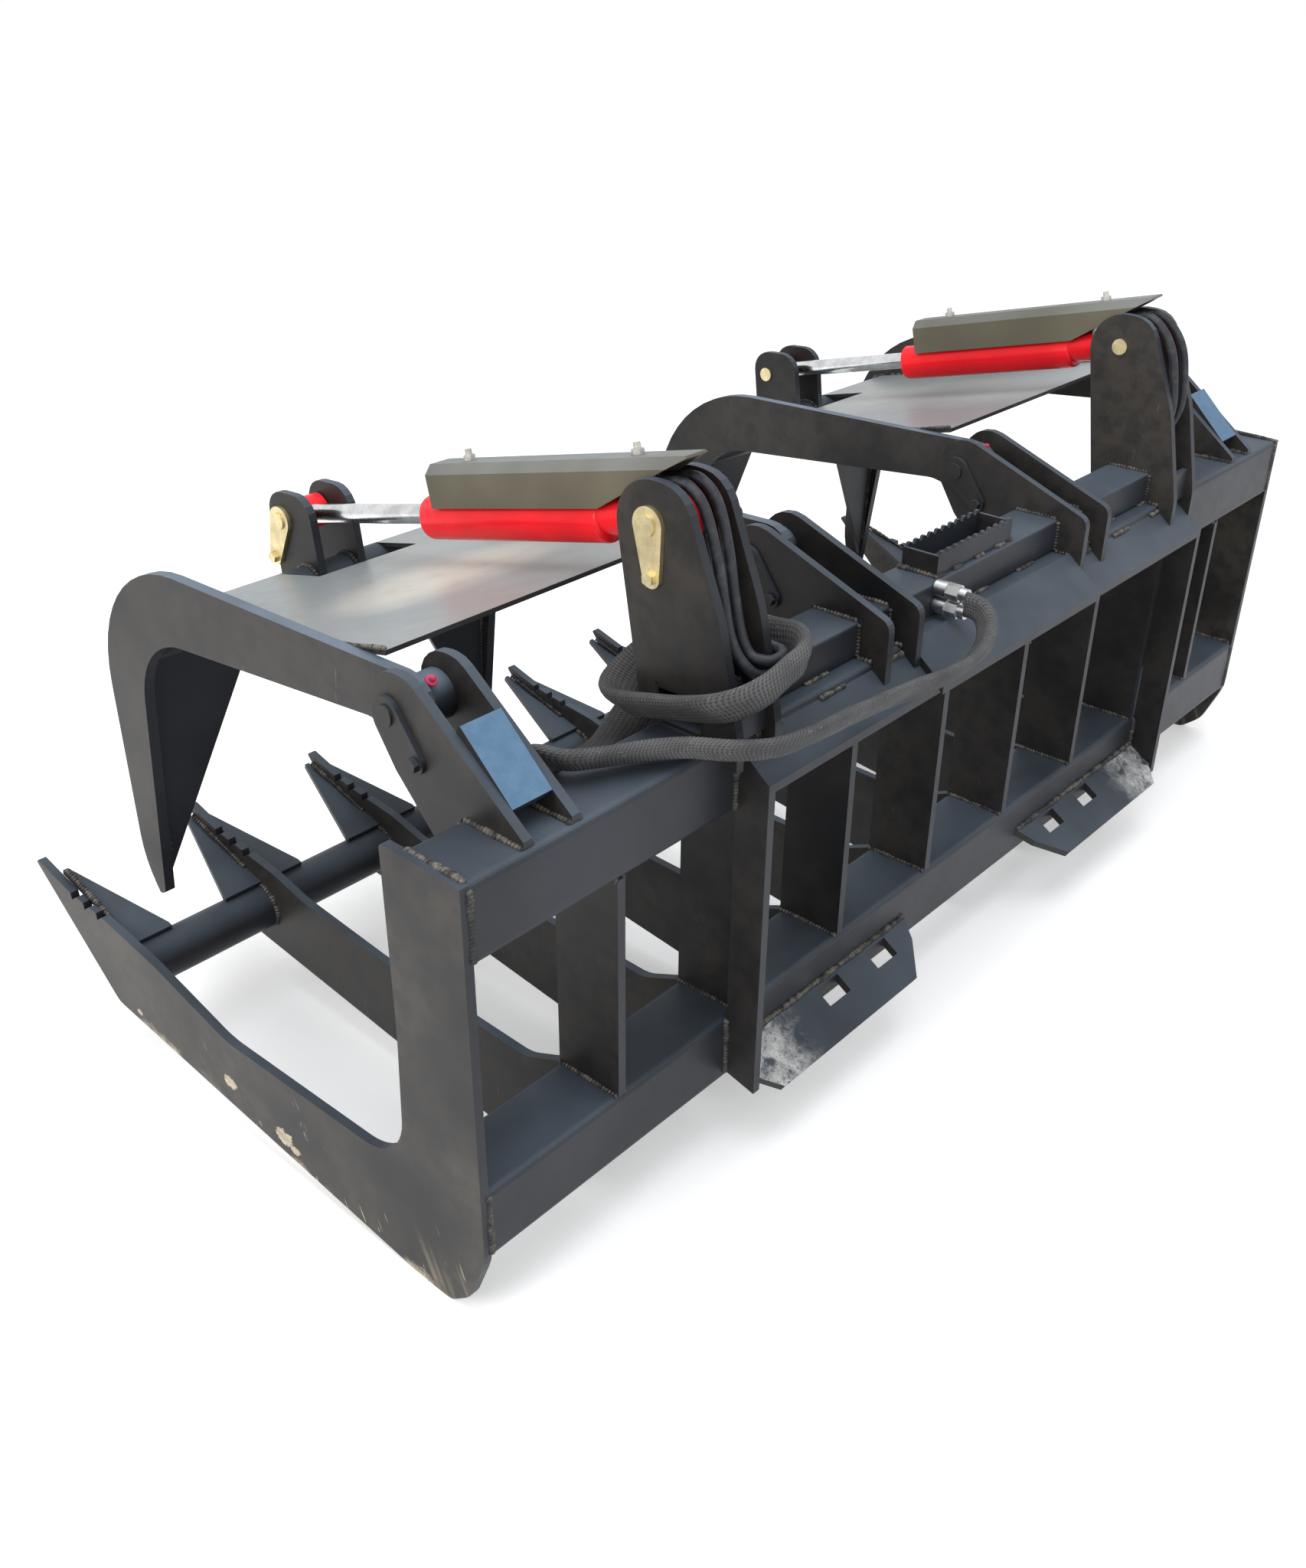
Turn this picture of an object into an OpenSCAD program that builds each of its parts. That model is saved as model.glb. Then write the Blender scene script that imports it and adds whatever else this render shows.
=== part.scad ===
// Root grapple: ten welded tines, two clamps, each swung by its own hydraulic cylinder.
// Millimetres. X runs along the grapple, Y goes back to the loader, Z is up.
// Each outline is drawn in the plane of its plate, with Y = 0 at the rear faces of
// the two main tubes and Z = 0 at the underside of the lower tube.

/* [Frame] */
// Distance from one tine to the next
tine_pitch = 228.6; // [180:0.1:300]
// Thickness of a tine plate
tine_t = 12.7; // [8:0.1:20]
// Side of the two square main tubes
tube_side = 101.6; // [80:0.1:130]
// Wall of the two main tubes
tube_wall = 6.35; // [4:0.05:10]
// Outer corner radius of the main tubes
tube_corner = 9; // [4:0.5:15]
// Height from the underside of the lower tube to the top of the upper tube
frame_h = 519; // [420:1:620]
// Depth of the heel below the lower tube
heel_drop = 110; // [80:1:140]
// Reach of the end tines in front of the tubes' rear faces
end_reach = 979; // [850:1:1100]
// Reach of the inner tines in front of the tubes' rear faces
inner_reach = 926; // [800:1:1050]
// Height of the front pipe above the underside of the lower tube
pipe_up = 46; // [30:1:70]
// Distance from the front pipe to the tubes' rear faces
pipe_back = 740; // [650:1:820]
// Outer diameter of the front pipe
pipe_d = 69; // [50:0.5:90]
// Wall of the front pipe
pipe_wall = 5.2; // [3:0.1:8]
// Depth of the upright part of an end plate in front of the tubes
upright_over = 23; // [5:0.5:40]

/* [Tine tips] */
// Number of teeth cut in each tine
tooth_count = 3; // [2:1:4]
// Depth of a tooth
tooth_drop = 11; // [5:0.5:16]
// Width of the wing on each side of a tine tip
wing_w = 62; // [40:1:80]
// Plate thickness of a tip wing
wing_t = 8; // [5:0.5:12]

/* [Top rail and step] */
// Depth of the rail on the upper tube
rail_w = 76.2; // [50:0.1:100]
// Height of the rail on the upper tube
rail_h = 50.8; // [40:0.1:60]
// Wall of the rail
rail_wall = 4.8; // [3:0.1:8]
// Distance of the serrated step's middle from the middle of the grapple
step_x = 20; // [-60:1:60]
// Length of the serrated step
step_l = 200; // [120:1:260]
// Depth of the serrated step
step_w = 58; // [40:1:70]
// Height of the serrated step
step_h = 36; // [20:1:50]
// Bar thickness of the serrated step
step_t = 5; // [3:0.5:8]
// Number of teeth along each side of the step
step_teeth = 11; // [6:1:16]

/* [Quick attach] */
// Width over the two side plates
qa_w = 1196; // [1100:1:1210]
// Thickness of the side plates
qa_side_t = 12.7; // [8:0.1:16]
// Distance that the plates stand behind the tubes
qa_depth = 50; // [35:1:70]
// Thickness of the sloping top lip
lip_t = 9.5; // [6:0.1:14]
// Step from the top of the upper tube down to the lip
lip_down = 9; // [4:0.5:20]
// Fall of the top lip from front to back
lip_fall = 39; // [25:0.5:60]
// Thickness of the cover plate between the inner brackets
cover_t = 10; // [6:0.5:14]
// Reach of the two bottom lips behind the tubes
foot_reach = 72; // [55:1:90]
// Height at which a bottom lip meets the lower tube
foot_up = 45; // [30:1:60]
// Thickness of a bottom lip
foot_t = 12.7; // [8:0.1:16]
// Width of a latch slot
slot_w = 50; // [35:1:60]
// Length of a latch slot along the lip
slot_l = 26; // [16:1:32]

/* [Clamp pivots] */
// Centre plane of the near tower and its cylinder
clamp_x = 588; // [560:1:600]
// Centre plane of the far tower and its cylinder, on the other side of the middle
far_clamp_x = 563; // [550:1:600]
// Distance from a tower's centre plane to the centre of its pivot brackets
bracket_x = 311; // [280:1:330]
// Clear gap between two ears
ear_gap = 58.6; // [50:0.1:64]
// Thickness of an ear plate
ear_t = 12.7; // [8:0.1:16]
// Pivot in front of the tubes' front faces
pivot_out = 108.4; // [90:0.1:125]
// Pivot above the upper tube
pivot_up = 88; // [75:0.5:110]
// Diameter of every hinge pin
pin_d = 25.4; // [20:0.1:32]
// Radial running clearance of a hinge pin
run_gap = 0.06; // [0.02:0.01:0.1]
// Length of a pin's keeper plate, from the pin to its bolt
keeper_l = 62; // [45:1:75]
// Thickness of a keeper plate
keeper_t = 6; // [3:0.5:10]
// Diameter of a keeper's bolt
keeper_bolt_d = 10; // [6:0.5:12]

/* [Clamp] */
// Reach of a clamp arm from its pivot to the front of its knuckle
arm_reach = 638; // [560:1:700]
// Drop from the pivot to the tip of a claw
arm_drop = 515; // [460:1:540]
// Thickness of a clamp arm
arm_t = 15.9; // [10:0.1:20]
// Outer diameter of the boss on an arm
boss_d = 60; // [45:1:66]
// Thickness of the clamp's sheet
sheet_t = 6.4; // [4:0.1:10]
// Width of the notch in the sheet
notch_w = 176; // [120:1:200]
// Length of the notch in the sheet
notch_l = 98; // [60:1:130]
// Outer diameter of the cross tube under the sheet
cross_d = 60.3; // [48:0.1:70]
// Wall of the cross tube
cross_wall = 5; // [3:0.1:8]
// Plate thickness of a claw wing
claw_wing_t = 8; // [5:0.5:12]
// Width of a claw wing at its top
claw_wing_w = 200; // [120:1:220]

/* [Cylinder] */
// Rod pin in front of the pivot
rod_pin_out = 622; // [600:1:640]
// Rod pin below the pivot
rod_pin_down = 14; // [0:0.5:30]
// Tower pin above the upper tube
tower_up = 244; // [220:1:270]
// Tower pin in front of the tubes' front faces
tower_out = 10.4; // [0:0.1:20]
// Outer diameter of the barrel
barrel_d = 50; // [44:0.5:54]
// Bore of the barrel
barrel_bore = 40; // [36:0.5:42]
// Diameter of the rod
rod_d = 28; // [22:0.5:32]
// Outer diameter of the rod eye
rod_eye_d = 50; // [40:1:56]
// Distance from the rod pin to the barrel's front face
rod_show = 303; // [280:1:330]
// Wall of the barrel's base eye
eye_wall = 4.8; // [4:0.1:8]
// Play left round the tower pin, because the linkage is opened there
open_play = 14.6; // [10:0.1:15]
// Sheet thickness of the guard
guard_t = 3; // [2:0.1:3.2]
// Height of the guard's ridge above the cylinder's axis
guard_up = 70; // [55:1:80]
// Height of the guard's lower edges above the cylinder's axis
guard_low = 14; // [8:1:20]

/* [Hoses] */
// Outer diameter of a hose
hose_d = 14; // [10:0.5:16]
// Width of the flat woven sleeve round the hoses
sleeve_w = 44; // [34:1:46]
// Thickness of the sleeve
sleeve_t = 20; // [16:1:22]
// Diameter over the hexagon of a coupler
coupler_d = 30; // [22:1:34]
// Length of a coupler
coupler_l = 62; // [45:1:80]

/* [View] */
// Part to show, or all

/* [Hidden] */

$fn = 48;
tine_count = 10;
overrun = 2;
weld_gap = 0.3;
// Turn taken by one chord, in a large rounded corner of a plate and in a small one
large_turn = 8;
small_turn = 20;

black = [0.07, 0.07, 0.08];
red = [0.75, 0.05, 0.05];
zinc = [0.78, 0.66, 0.32];
steel = [0.72, 0.74, 0.76];
rubber = [0.05, 0.05, 0.05];

// The model stands on its heels, and Y = 0 is the middle of its depth.
mid_y = (foot_reach - end_reach) / 2;
module placed() {
    translate([0, -mid_y, heel_drop]) children();
}

// Side "near" is +X and "far" is its mirror image. The far tower stands a little
// closer to the middle, and the far clamp is the near one moved along the grapple.
module far() {
    placed() mirror([1, 0, 0]) children();
}

module far_stand() {
    placed() translate([clamp_x - far_clamp_x, 0, 0]) mirror([1, 0, 0]) children();
}

clamp_step = clamp_x + far_clamp_x;
module far_clamp() {
    placed() translate([-clamp_step, 0, 0]) children();
}

// A plate drawn as [y, z] and centred on plane x.
module slab(x, t) {
    translate([x - t / 2, 0, 0]) rotate([90, 0, 90]) linear_extrude(t) children();
}

// A round bar along X.
module bar_x(x0, x1, y, z, d) {
    translate([x0, y, z]) rotate([0, 90, 0]) cylinder(h = x1 - x0, d = d);
}

function unit(v) = v / norm(v);
function flat(p) = [p[0], p[1]];
// One corner b = [y, z, radius] between its neighbours a and c, as an arc of chords.
function corner(a, b, c) =
    b[2] == 0 ? [flat(b)] :
    let (
        u = unit(flat(a) - flat(b)),
        w = unit(flat(c) - flat(b)),
        half = acos(u * w) / 2,
        p = flat(b) + u * b[2] / tan(half),
        q = flat(b) + w * b[2] / tan(half),
        o = flat(b) + unit(u + w) * b[2] / sin(half),
        start = atan2(p[1] - o[1], p[0] - o[0]),
        turn = ((atan2(q[1] - o[1], q[0] - o[0]) - start) % 360 + 540) % 360 - 180,
        n = ceil(abs(turn) / (b[2] > tube_side / 2 ? large_turn : small_turn))
    )
    [for (i = [0:n]) o + b[2] * [cos(start + turn * i / n), sin(start + turn * i / n)]];
function rounded(pts) =
    let (n = len(pts))
    [for (i = [0:n - 1]) each corner(pts[(i + n - 1) % n], pts[i], pts[(i + 1) % n])];
// Corner points from shares of a width and a height, measured from a corner [y, z].
function from_shares(shares, o, w, h) =
    [for (s = shares) [o[0] + s[0] * w, o[1] + s[1] * h, s[2] * h]];

// Main levels
tube_top = frame_h;
low_top = tube_side;
up_bot = frame_h - tube_side;
tube_front = -tube_side;
rail_top = frame_h + rail_h;
rail_back = tube_front + rail_w;
end_x = (tine_count - 1) / 2 * tine_pitch;
inner_w = 2 * end_x - tine_t;
function tine_x(i) = end_x - i * tine_pitch;
pipe = [-pipe_back, pipe_up];
pivot = [tube_front - pivot_out, tube_top + pivot_up];
tower_pin = [tube_front - tower_out, tube_top + tower_up];
rod_pin = [pivot[0] - rod_pin_out, pivot[1] - rod_pin_down];
cyl_v = tower_pin - rod_pin;
cyl_l = norm(cyl_v);
cyl_tilt = atan2(cyl_v[1], cyl_v[0]);
lip_slope = atan2(lip_fall, qa_depth);
function lip_z(y) = tube_top - lip_down - y * lip_fall / qa_depth;

// Main tubes and pipe
module square_tube(y, z, w, h, wall, r, len) {
    translate([-len / 2, 0, 0]) rotate([90, 0, 90]) linear_extrude(len) difference() {
        polygon(rounded([[y, z, r], [y + w, z, r], [y + w, z + h, r], [y, z + h, r]]));
        polygon([[y + wall, z + wall], [y + w - wall, z + wall],
            [y + w - wall, z + h - wall], [y + wall, z + h - wall]]);
    }
}

module lower_tube() color(black) placed()
    square_tube(tube_front, 0, tube_side, tube_side, tube_wall, tube_corner, inner_w);

module upper_tube() color(black) placed()
    square_tube(tube_front, up_bot, tube_side, tube_side, tube_wall, tube_corner, inner_w);

module front_pipe() color(black) placed() difference() {
    bar_x(-inner_w / 2, inner_w / 2, pipe[0], pipe[1], pipe_d);
    bar_x(-inner_w, inner_w, pipe[0], pipe[1], pipe_d - 2 * pipe_wall);
}

// The rail stops at the outer faces of the towers.
rail_l = clamp_step + ear_gap + 2 * ear_t;
middle_x = (clamp_x - far_clamp_x) / 2;
module top_rail() color(black) placed() translate([middle_x, 0, 0])
    square_tube(tube_front, tube_top, rail_w, rail_h, rail_wall, rail_wall, rail_l);

module uprights() color(black) placed()
    for (i = [1:tine_count - 2]) slab(tine_x(i), tine_t)
        polygon([[tube_front, low_top], [0, low_top], [0, up_bot], [tube_front, up_bot]]);

// Teeth from the tip backwards: each drops straight and rises to the next one.
function teeth(y0, y1, z0, z1) = [for (i = [0:tooth_count - 1])
    let (
        pitch = (y1 - y0) / tooth_count,
        y = y0 + i * pitch,
        z = z0 + (z1 - z0) * (y - y0) / (y1 - y0),
        back = y + pitch * 0.45,
        z_back = z0 + (z1 - z0) * (back - y0) / (y1 - y0)
    )
    each [[y, z, 0], [y + tooth_drop / 10, z - tooth_drop, 0], [back, z_back, 0]]];

// Lower edge from the nose to the heel, and upper edge from the teeth to the throat.
module end_outline() {
    r = end_reach;
    past = end_reach - pipe_back;
    tip = [-r, tube_side * 1.39, wing_t / 2];
    teeth_y = -r + past * 0.41;
    teeth_end = -r + past * 0.84;
    polygon(rounded(concat(
        [tip],
        teeth(teeth_y, teeth_end, tube_side * 1.155, tube_side * 1.10),
        [[-pipe_back * 0.985, tube_side * 1.0, 0],
        [-r * 0.682, tube_side * 0.90, tube_side],
        [-r * 0.515, tube_side * 0.48, tube_side * 1.5],
        [-tube_side * 1.34, tube_side * 0.58, tube_side * 0.84],
        [tube_front - upright_over, frame_h * 0.53, frame_h],
        [tube_front - upright_over, frame_h + lip_down / 3, tooth_drop / 2],
        [tube_front + upright_over, frame_h + lip_down / 3, tooth_drop / 2],
        [0, frame_h, 0],
        [0, 0, tube_side],
        [-tube_side * 0.31, -heel_drop * 0.72, tube_side * 0.4],
        [-tube_side * 0.66, -heel_drop, tube_side * 0.25],
        [-tube_side * 1.25, -heel_drop, tube_side * 2.5],
        [-pipe_back * 1.074, -heel_drop * 0.32, tube_side * 0.25]]
    )));
}

module end_plate(x) {
    slab(x, tine_t) end_outline();
}

module near_end_plate() color(black) placed() end_plate(end_x);
module far_end_plate() color(black) placed() end_plate(-end_x);

// An inner tine wraps under the lower tube and rises to its rear edge.
module inner_outline() {
    r = inner_reach;
    past = inner_reach - pipe_back;
    teeth_y = -r + past * 0.41;
    teeth_end = -r + past * 0.96;
    polygon(rounded(concat(
        [[-r, tube_side * 1.56, wing_t / 2]],
        teeth(teeth_y, teeth_end, tube_side * 1.34, tube_side * 1.20),
        [[-pipe_back * 0.955, tube_side * 1.16, 0],
        [-pipe_back * 0.86, tube_side * 0.98, tube_side],
        [-pipe_back * 0.62, tube_side * 0.80, tube_side * 2],
        [tube_front - tube_side * 0.62, tube_side * 0.72, tube_side * 0.6],
        [tube_front, low_top, 0],
        [tube_front, 0, 0],
        [-tube_wall, 0, 0],
        [-tube_side * 0.72, -heel_drop * 0.66, tube_side * 0.4],
        [-tube_side * 1.3, -heel_drop * 0.82, tube_side * 2],
        [-pipe_back * 1.04, -heel_drop * 0.12, tube_side * 0.25]]
    )));
}

module inner_tine(i) {
    difference() {
        slab(tine_x(i), tine_t) inner_outline();
        bar_x(tine_x(i) - tine_t, tine_x(i) + tine_t, pipe[0], pipe[1], pipe_d + 2 * weld_gap);
    }
}

module tine_1() color(black) placed() inner_tine(1);
module tine_2() color(black) placed() inner_tine(2);
module tine_3() color(black) placed() inner_tine(3);
module tine_4() color(black) placed() inner_tine(4);
module tine_5() color(black) placed() inner_tine(5);
module tine_6() color(black) placed() inner_tine(6);
module tine_7() color(black) placed() inner_tine(7);
module tine_8() color(black) placed() inner_tine(8);

// A wing is a triangle from the tip back onto the pipe, beside its tine plate.
wing_front = -inner_reach + wing_t;
wing_front_z = tube_side * 1.33;
wing_back_z = pipe[1] + pipe_d / 2 + wing_t;
wing_run = norm([-pipe_back - wing_front, wing_front_z - wing_back_z]);
wing_tilt = atan2(wing_front_z - wing_back_z, -pipe_back - wing_front);
module wing(x, s, w) {
    translate([x + s * tine_t / 2, wing_front, wing_front_z]) rotate([-wing_tilt, 0, 0])
        translate([0, 0, -wing_t]) linear_extrude(wing_t)
            polygon([[0, 0], [0, wing_run], [s * w, wing_run], [s * w, wing_run - wing_t], [s * wing_t, 0]]);
}

module tip_wings() color(black) placed() difference() {
    union() {
        for (i = [1:tine_count - 2]) for (s = [-1, 1]) wing(tine_x(i), s, wing_w);
        for (s = [-1, 1]) wing(s * end_x, -s, wing_w);
    }
    bar_x(-inner_w, inner_w, pipe[0], pipe[1], pipe_d + 2 * weld_gap);
}

// Serrated step: a ring of bar with teeth along both long sides.
step_pitch = step_l / step_teeth;
module step_side(y) {
    translate([-step_l / 2, y, rail_top]) rotate([90, 0, 0]) translate([0, 0, -step_t])
        linear_extrude(step_t) polygon(concat([[0, 0]],
            [for (i = [0:step_teeth - 1]) each [[i * step_pitch, step_h - step_t],
                [(i + 0.3) * step_pitch, step_h], [(i + 0.6) * step_pitch, step_h],
                [(i + 0.75) * step_pitch, step_h - step_t]]],
            [[step_l, step_h - step_t], [step_l, 0]]));
}

step_y = tube_front + (rail_w - step_w) / 2;
module step() color(black) placed() translate([step_x, 0, 0]) {
    step_side(step_y);
    step_side(step_y + step_w - step_t);
    for (x = [-step_l / 2, step_l / 2 - step_t])
        translate([x, step_y + step_t, rail_top])
            cube([step_t, step_w - 2 * step_t, step_h - step_t]);
}

// Quick attach
module side_plate(x) {
    top = lip_t / cos(lip_slope);
    slab(x, qa_side_t) polygon(rounded([[0, lip_z(0) - top, 0], [qa_depth, lip_z(qa_depth) - top, 0],
        [qa_depth, 0, 0], [0, qa_side_t, 0]]));
}

module near_side_plate() color(black) placed() side_plate((qa_w - qa_side_t) / 2);
module far_side_plate() color(black) placed() side_plate(-(qa_w - qa_side_t) / 2);

module top_lip() color(black) placed() {
    top = lip_t / cos(lip_slope);
    slab(0, qa_w) polygon([[0, lip_z(0)], [0, lip_z(0) - top],
        [qa_depth, lip_z(qa_depth) - top], [qa_depth, lip_z(qa_depth)]]);
}

// The cover plate lies on the lip and hangs a little below its rear edge.
cover_w = clamp_step - 2 * bracket_x - ear_gap - 2 * ear_t;
module lip_cover() color(black) placed() translate([middle_x, 0, 0]) {
    top = cover_t / cos(lip_slope);
    end = qa_depth + cover_t;
    slab(0, cover_w - 2 * weld_gap)
        polygon([[0, lip_z(0)], [0, lip_z(0) + top], [end, lip_z(end) + top], [end, lip_z(end)]]);
}

foot_slope = atan2(foot_up, foot_reach);
foot_outer = qa_w / 2 - qa_side_t;
foot_inner = qa_w * 0.142;
slot_x = [qa_w * 0.215, qa_w * 0.315];
module foot() {
    difference() {
        translate([0, 0, foot_up]) rotate([-foot_slope, 0, 0]) translate([0, 0, -foot_t])
            linear_extrude(foot_t) scale([1, 1 / cos(foot_slope)]) polygon([
                [foot_outer, 0], [foot_outer, foot_reach * 0.6],
                [foot_outer - foot_reach * 0.4, foot_reach],
                [foot_inner + foot_reach * 0.9, foot_reach],
                [foot_inner + foot_reach * 0.25, foot_reach * 0.42],
                [foot_inner, 0]]);
        for (x = slot_x) translate([x - slot_w / 2, foot_reach * 0.1, -foot_up])
            cube([slot_w, slot_l, 3 * foot_up]);
        translate([0, -foot_reach, -foot_up]) cube([qa_w, foot_reach, 3 * foot_up]);
    }
}

module near_foot() color(black) placed() foot();
module far_foot() color(black) far() foot();

// Pivot brackets
// Shares of the pivot's distance and height, from the tube's top front edge.
nose_shares = [[-0.46, -0.45, 0.1], [-0.97, 0.22, 0.1], [-1.28, 0.80, 0.25], [-1.28, 1.59, 0.475]];
outer_top_share = [[-0.69, 1.59, 0.45]];
inner_top_share = [[-0.79, 1.57, 0.45]];
ear_foot_share = 0.80;
module outer_ear_outline() {
    o = [tube_front, tube_top];
    polygon(rounded(concat(
        [[tube_front, tube_top - pivot_up * ear_foot_share, 0],
        [tube_front - pivot_out * 0.2, tube_top - pivot_up * ear_foot_share, 0]],
        from_shares(concat(nose_shares, outer_top_share), o, pivot_out, pivot_up),
        [[-tube_wall, tube_top + tube_wall * 1.5, 0], [-tube_wall, tube_top, 0], [tube_front, tube_top, 0]]
    )));
}

ear_back = qa_depth * 0.42;
module inner_ear_outline() {
    o = [tube_front, tube_top];
    difference() {
        polygon(rounded(concat(
            [[tube_front, tube_top - pivot_up * ear_foot_share, 0],
            [tube_front - pivot_out * 0.2, tube_top - pivot_up * ear_foot_share, 0]],
            from_shares(concat(nose_shares, inner_top_share), o, pivot_out, pivot_up),
            [[ear_back, rail_top + tube_corner, tube_corner * 2],
            [ear_back, lip_z(ear_back), 0],
            [0, lip_z(0), 0], [0, tube_top, 0], [tube_front, tube_top, 0]]
        )));
        translate([tube_front, tube_top]) square([rail_w, rail_h]);
    }
}

function ear_planes(x) = [x - (ear_gap + ear_t) / 2, x + (ear_gap + ear_t) / 2];
outer_x = clamp_x + bracket_x;
inner_x = clamp_x - bracket_x;
// The brace plate closes the rear slope between the two ears.
brace_shares = [[-0.16, 1.05], [-0.08, 1.17], [0.66, 0.36], [0.58, 0.24]];
module brace(x) {
    slab(x, ear_gap) polygon([for (s = brace_shares)
        [tube_front + s[0] * tube_side, tube_top + s[1] * pivot_up]]);
}

module brackets() {
    difference() {
        union() {
            for (x = ear_planes(outer_x)) slab(x, ear_t) outer_ear_outline();
            for (x = ear_planes(inner_x)) slab(x, ear_t) inner_ear_outline();
        }
        bar_x(0, outer_x * 2, pivot[0], pivot[1], pin_d + 2 * run_gap);
    }
    brace(outer_x);
}

module near_brackets() color(black) placed() brackets();
module far_brackets() color(black) far_stand() brackets();

// Towers
tower_back = qa_depth * 0.5;
// Shares of the tower pin's height, from the tube's top front edge.
tower_shares = [[-0.09, 0, 0], [-0.297, 1.221, 0.225], [0.150, 1.205, 0.19], [0.385, 0.63, 0.8]];
module tower_outline() {
    difference() {
        polygon(rounded(concat(
            from_shares(tower_shares, [tube_front, tube_top], tower_up, tower_up),
            [[tower_back, tube_top + tube_wall * 2, tube_side],
            [tower_back, lip_z(tower_back), 0],
            [0, lip_z(0), 0], [0, tube_top, 0], [tube_front, tube_top, 0]]
        )));
        translate([tube_front, tube_top]) square([rail_w, rail_h]);
    }
}

strip_t = 10;
strip_top = tower_up * 0.2;
module tower() {
    difference() {
        for (x = ear_planes(clamp_x)) slab(x, ear_t) tower_outline();
        bar_x(0, clamp_x * 2, tower_pin[0], tower_pin[1], pin_d + 2 * run_gap);
    }
    slab(clamp_x, ear_gap) polygon([[0, tube_top], [strip_t, tube_top],
        [strip_t, tube_top + strip_top], [0, tube_top + strip_top]]);
}

module near_tower() color(black) placed() tower();
module far_tower() color(black) far_stand() tower();

// Hinge pins with a tear-shaped keeper on one end
module tear(r1, r2, l) {
    a = asin((r1 - r2) / l);
    circle(r1);
    translate([l, 0]) circle(r2);
    polygon([[r1 * sin(a), r1 * cos(a)], [l + r2 * sin(a), r2 * cos(a)],
        [l + r2 * sin(a), -r2 * cos(a)], [r1 * sin(a), -r1 * cos(a)]]);
}

// A pin through a pair of ears at plane x, its keeper on side s and turned by angle a.
ear_w = ear_gap + 2 * ear_t;
head_t = keeper_t / 2;
module pin(x, y, z, s, a) {
    bar_x(x - ear_w / 2 - head_t, x + ear_w / 2 + head_t, y, z, pin_d);
    translate([x + s * ear_w / 2, y, z]) rotate([90, 0, 90]) {
        translate([0, 0, s > 0 ? 0 : -keeper_t]) difference() {
            linear_extrude(keeper_t) rotate(a) tear(pin_d * 0.86, pin_d * 0.5, keeper_l);
            translate([0, 0, -overrun]) cylinder(h = keeper_t + 2 * overrun, d = pin_d);
        }
        translate([0, 0, s > 0 ? 0 : -keeper_t - head_t])
            cylinder(h = keeper_t + head_t, d = pin_d);
        rotate(a) translate([keeper_l, 0, s > 0 ? keeper_t : -keeper_t - keeper_bolt_d * 0.7])
            cylinder(h = keeper_bolt_d * 0.7, d = keeper_bolt_d * 1.7, $fn = 6);
    }
}

keeper_turn = -45;
module pivot_pins() {
    pin(outer_x, pivot[0], pivot[1], 1, keeper_turn);
    pin(inner_x, pivot[0], pivot[1], 1, keeper_turn);
}

module near_pivot_pins() color(black) placed() pivot_pins();
module far_pivot_pins() color(black) far_clamp() pivot_pins();

module tower_keeper() {
    pin(clamp_x, tower_pin[0], tower_pin[1], 1, -84);
}

module near_tower_pin() color(zinc) placed() tower_keeper();
module far_tower_pin() color(zinc) far_stand() tower_keeper();

// Clamp arms, in shares of the reach and the drop from the pivot
arm_shares = [[-0.955, -1.0, 0.008], [-1.0, -0.905, 0.3], [-0.998, 0.056, 0.41], [-0.21, 0.080, 0.3],
    [0.072, 0.090, 0.075], [0.072, -0.088, 0.075], [-0.08, -0.050, 0.1], [-0.846, -0.142, 0.25],
    [-0.932, -0.985, 0.008]];
module arm_outline() {
    polygon(rounded(from_shares(arm_shares, pivot, arm_reach, arm_drop)));
}

// The outer arm runs beside the outer ear, the inner arm near the middle of its bracket.
side_play = 0.5;
boss_half = ear_gap / 2 - side_play;
outer_arm_x = outer_x + boss_half - arm_t / 2;
inner_arm_x = inner_x + ear_gap * 0.1;
module arm(x, boss_x0, boss_x1) {
    difference() {
        union() {
            slab(x, arm_t) arm_outline();
            bar_x(boss_x0, boss_x1, pivot[0], pivot[1], boss_d);
        }
        bar_x(x - ear_gap * 2, x + ear_gap * 2, pivot[0], pivot[1], pin_d + 2 * run_gap);
    }
}

module outer_arm() {
    arm(outer_arm_x, outer_x - boss_half, outer_arm_x);
}

module inner_arm() {
    arm(inner_arm_x, inner_x - boss_half, inner_x + boss_half);
}

module near_outer_arm() color(black) placed() outer_arm();
module near_inner_arm() color(black) placed() inner_arm();
module far_outer_arm() color(black) far_clamp() inner_arm();
module far_inner_arm() color(black) far_clamp() outer_arm();

// Cross tube between the knuckles; the sheet and the rod ears are cut to seat on it.
cross = [rod_pin[0] + cross_d * 0.86, rod_pin[1] - cross_d * 1.46];
span = outer_arm_x - inner_arm_x - arm_t;
mid_x = (outer_arm_x + inner_arm_x) / 2;
module cross_tube() difference() {
    bar_x(mid_x - span / 2, mid_x + span / 2, cross[0], cross[1], cross_d);
    bar_x(mid_x - span, mid_x + span, cross[0], cross[1], cross_d - 2 * cross_wall);
}

module near_cross_tube() color(black) placed() cross_tube();
module far_cross_tube() color(black) far_clamp() cross_tube();

module cut_cross() difference() {
    children();
    bar_x(mid_x - span, mid_x + span, cross[0], cross[1], cross_d + 2 * weld_gap);
}

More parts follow.
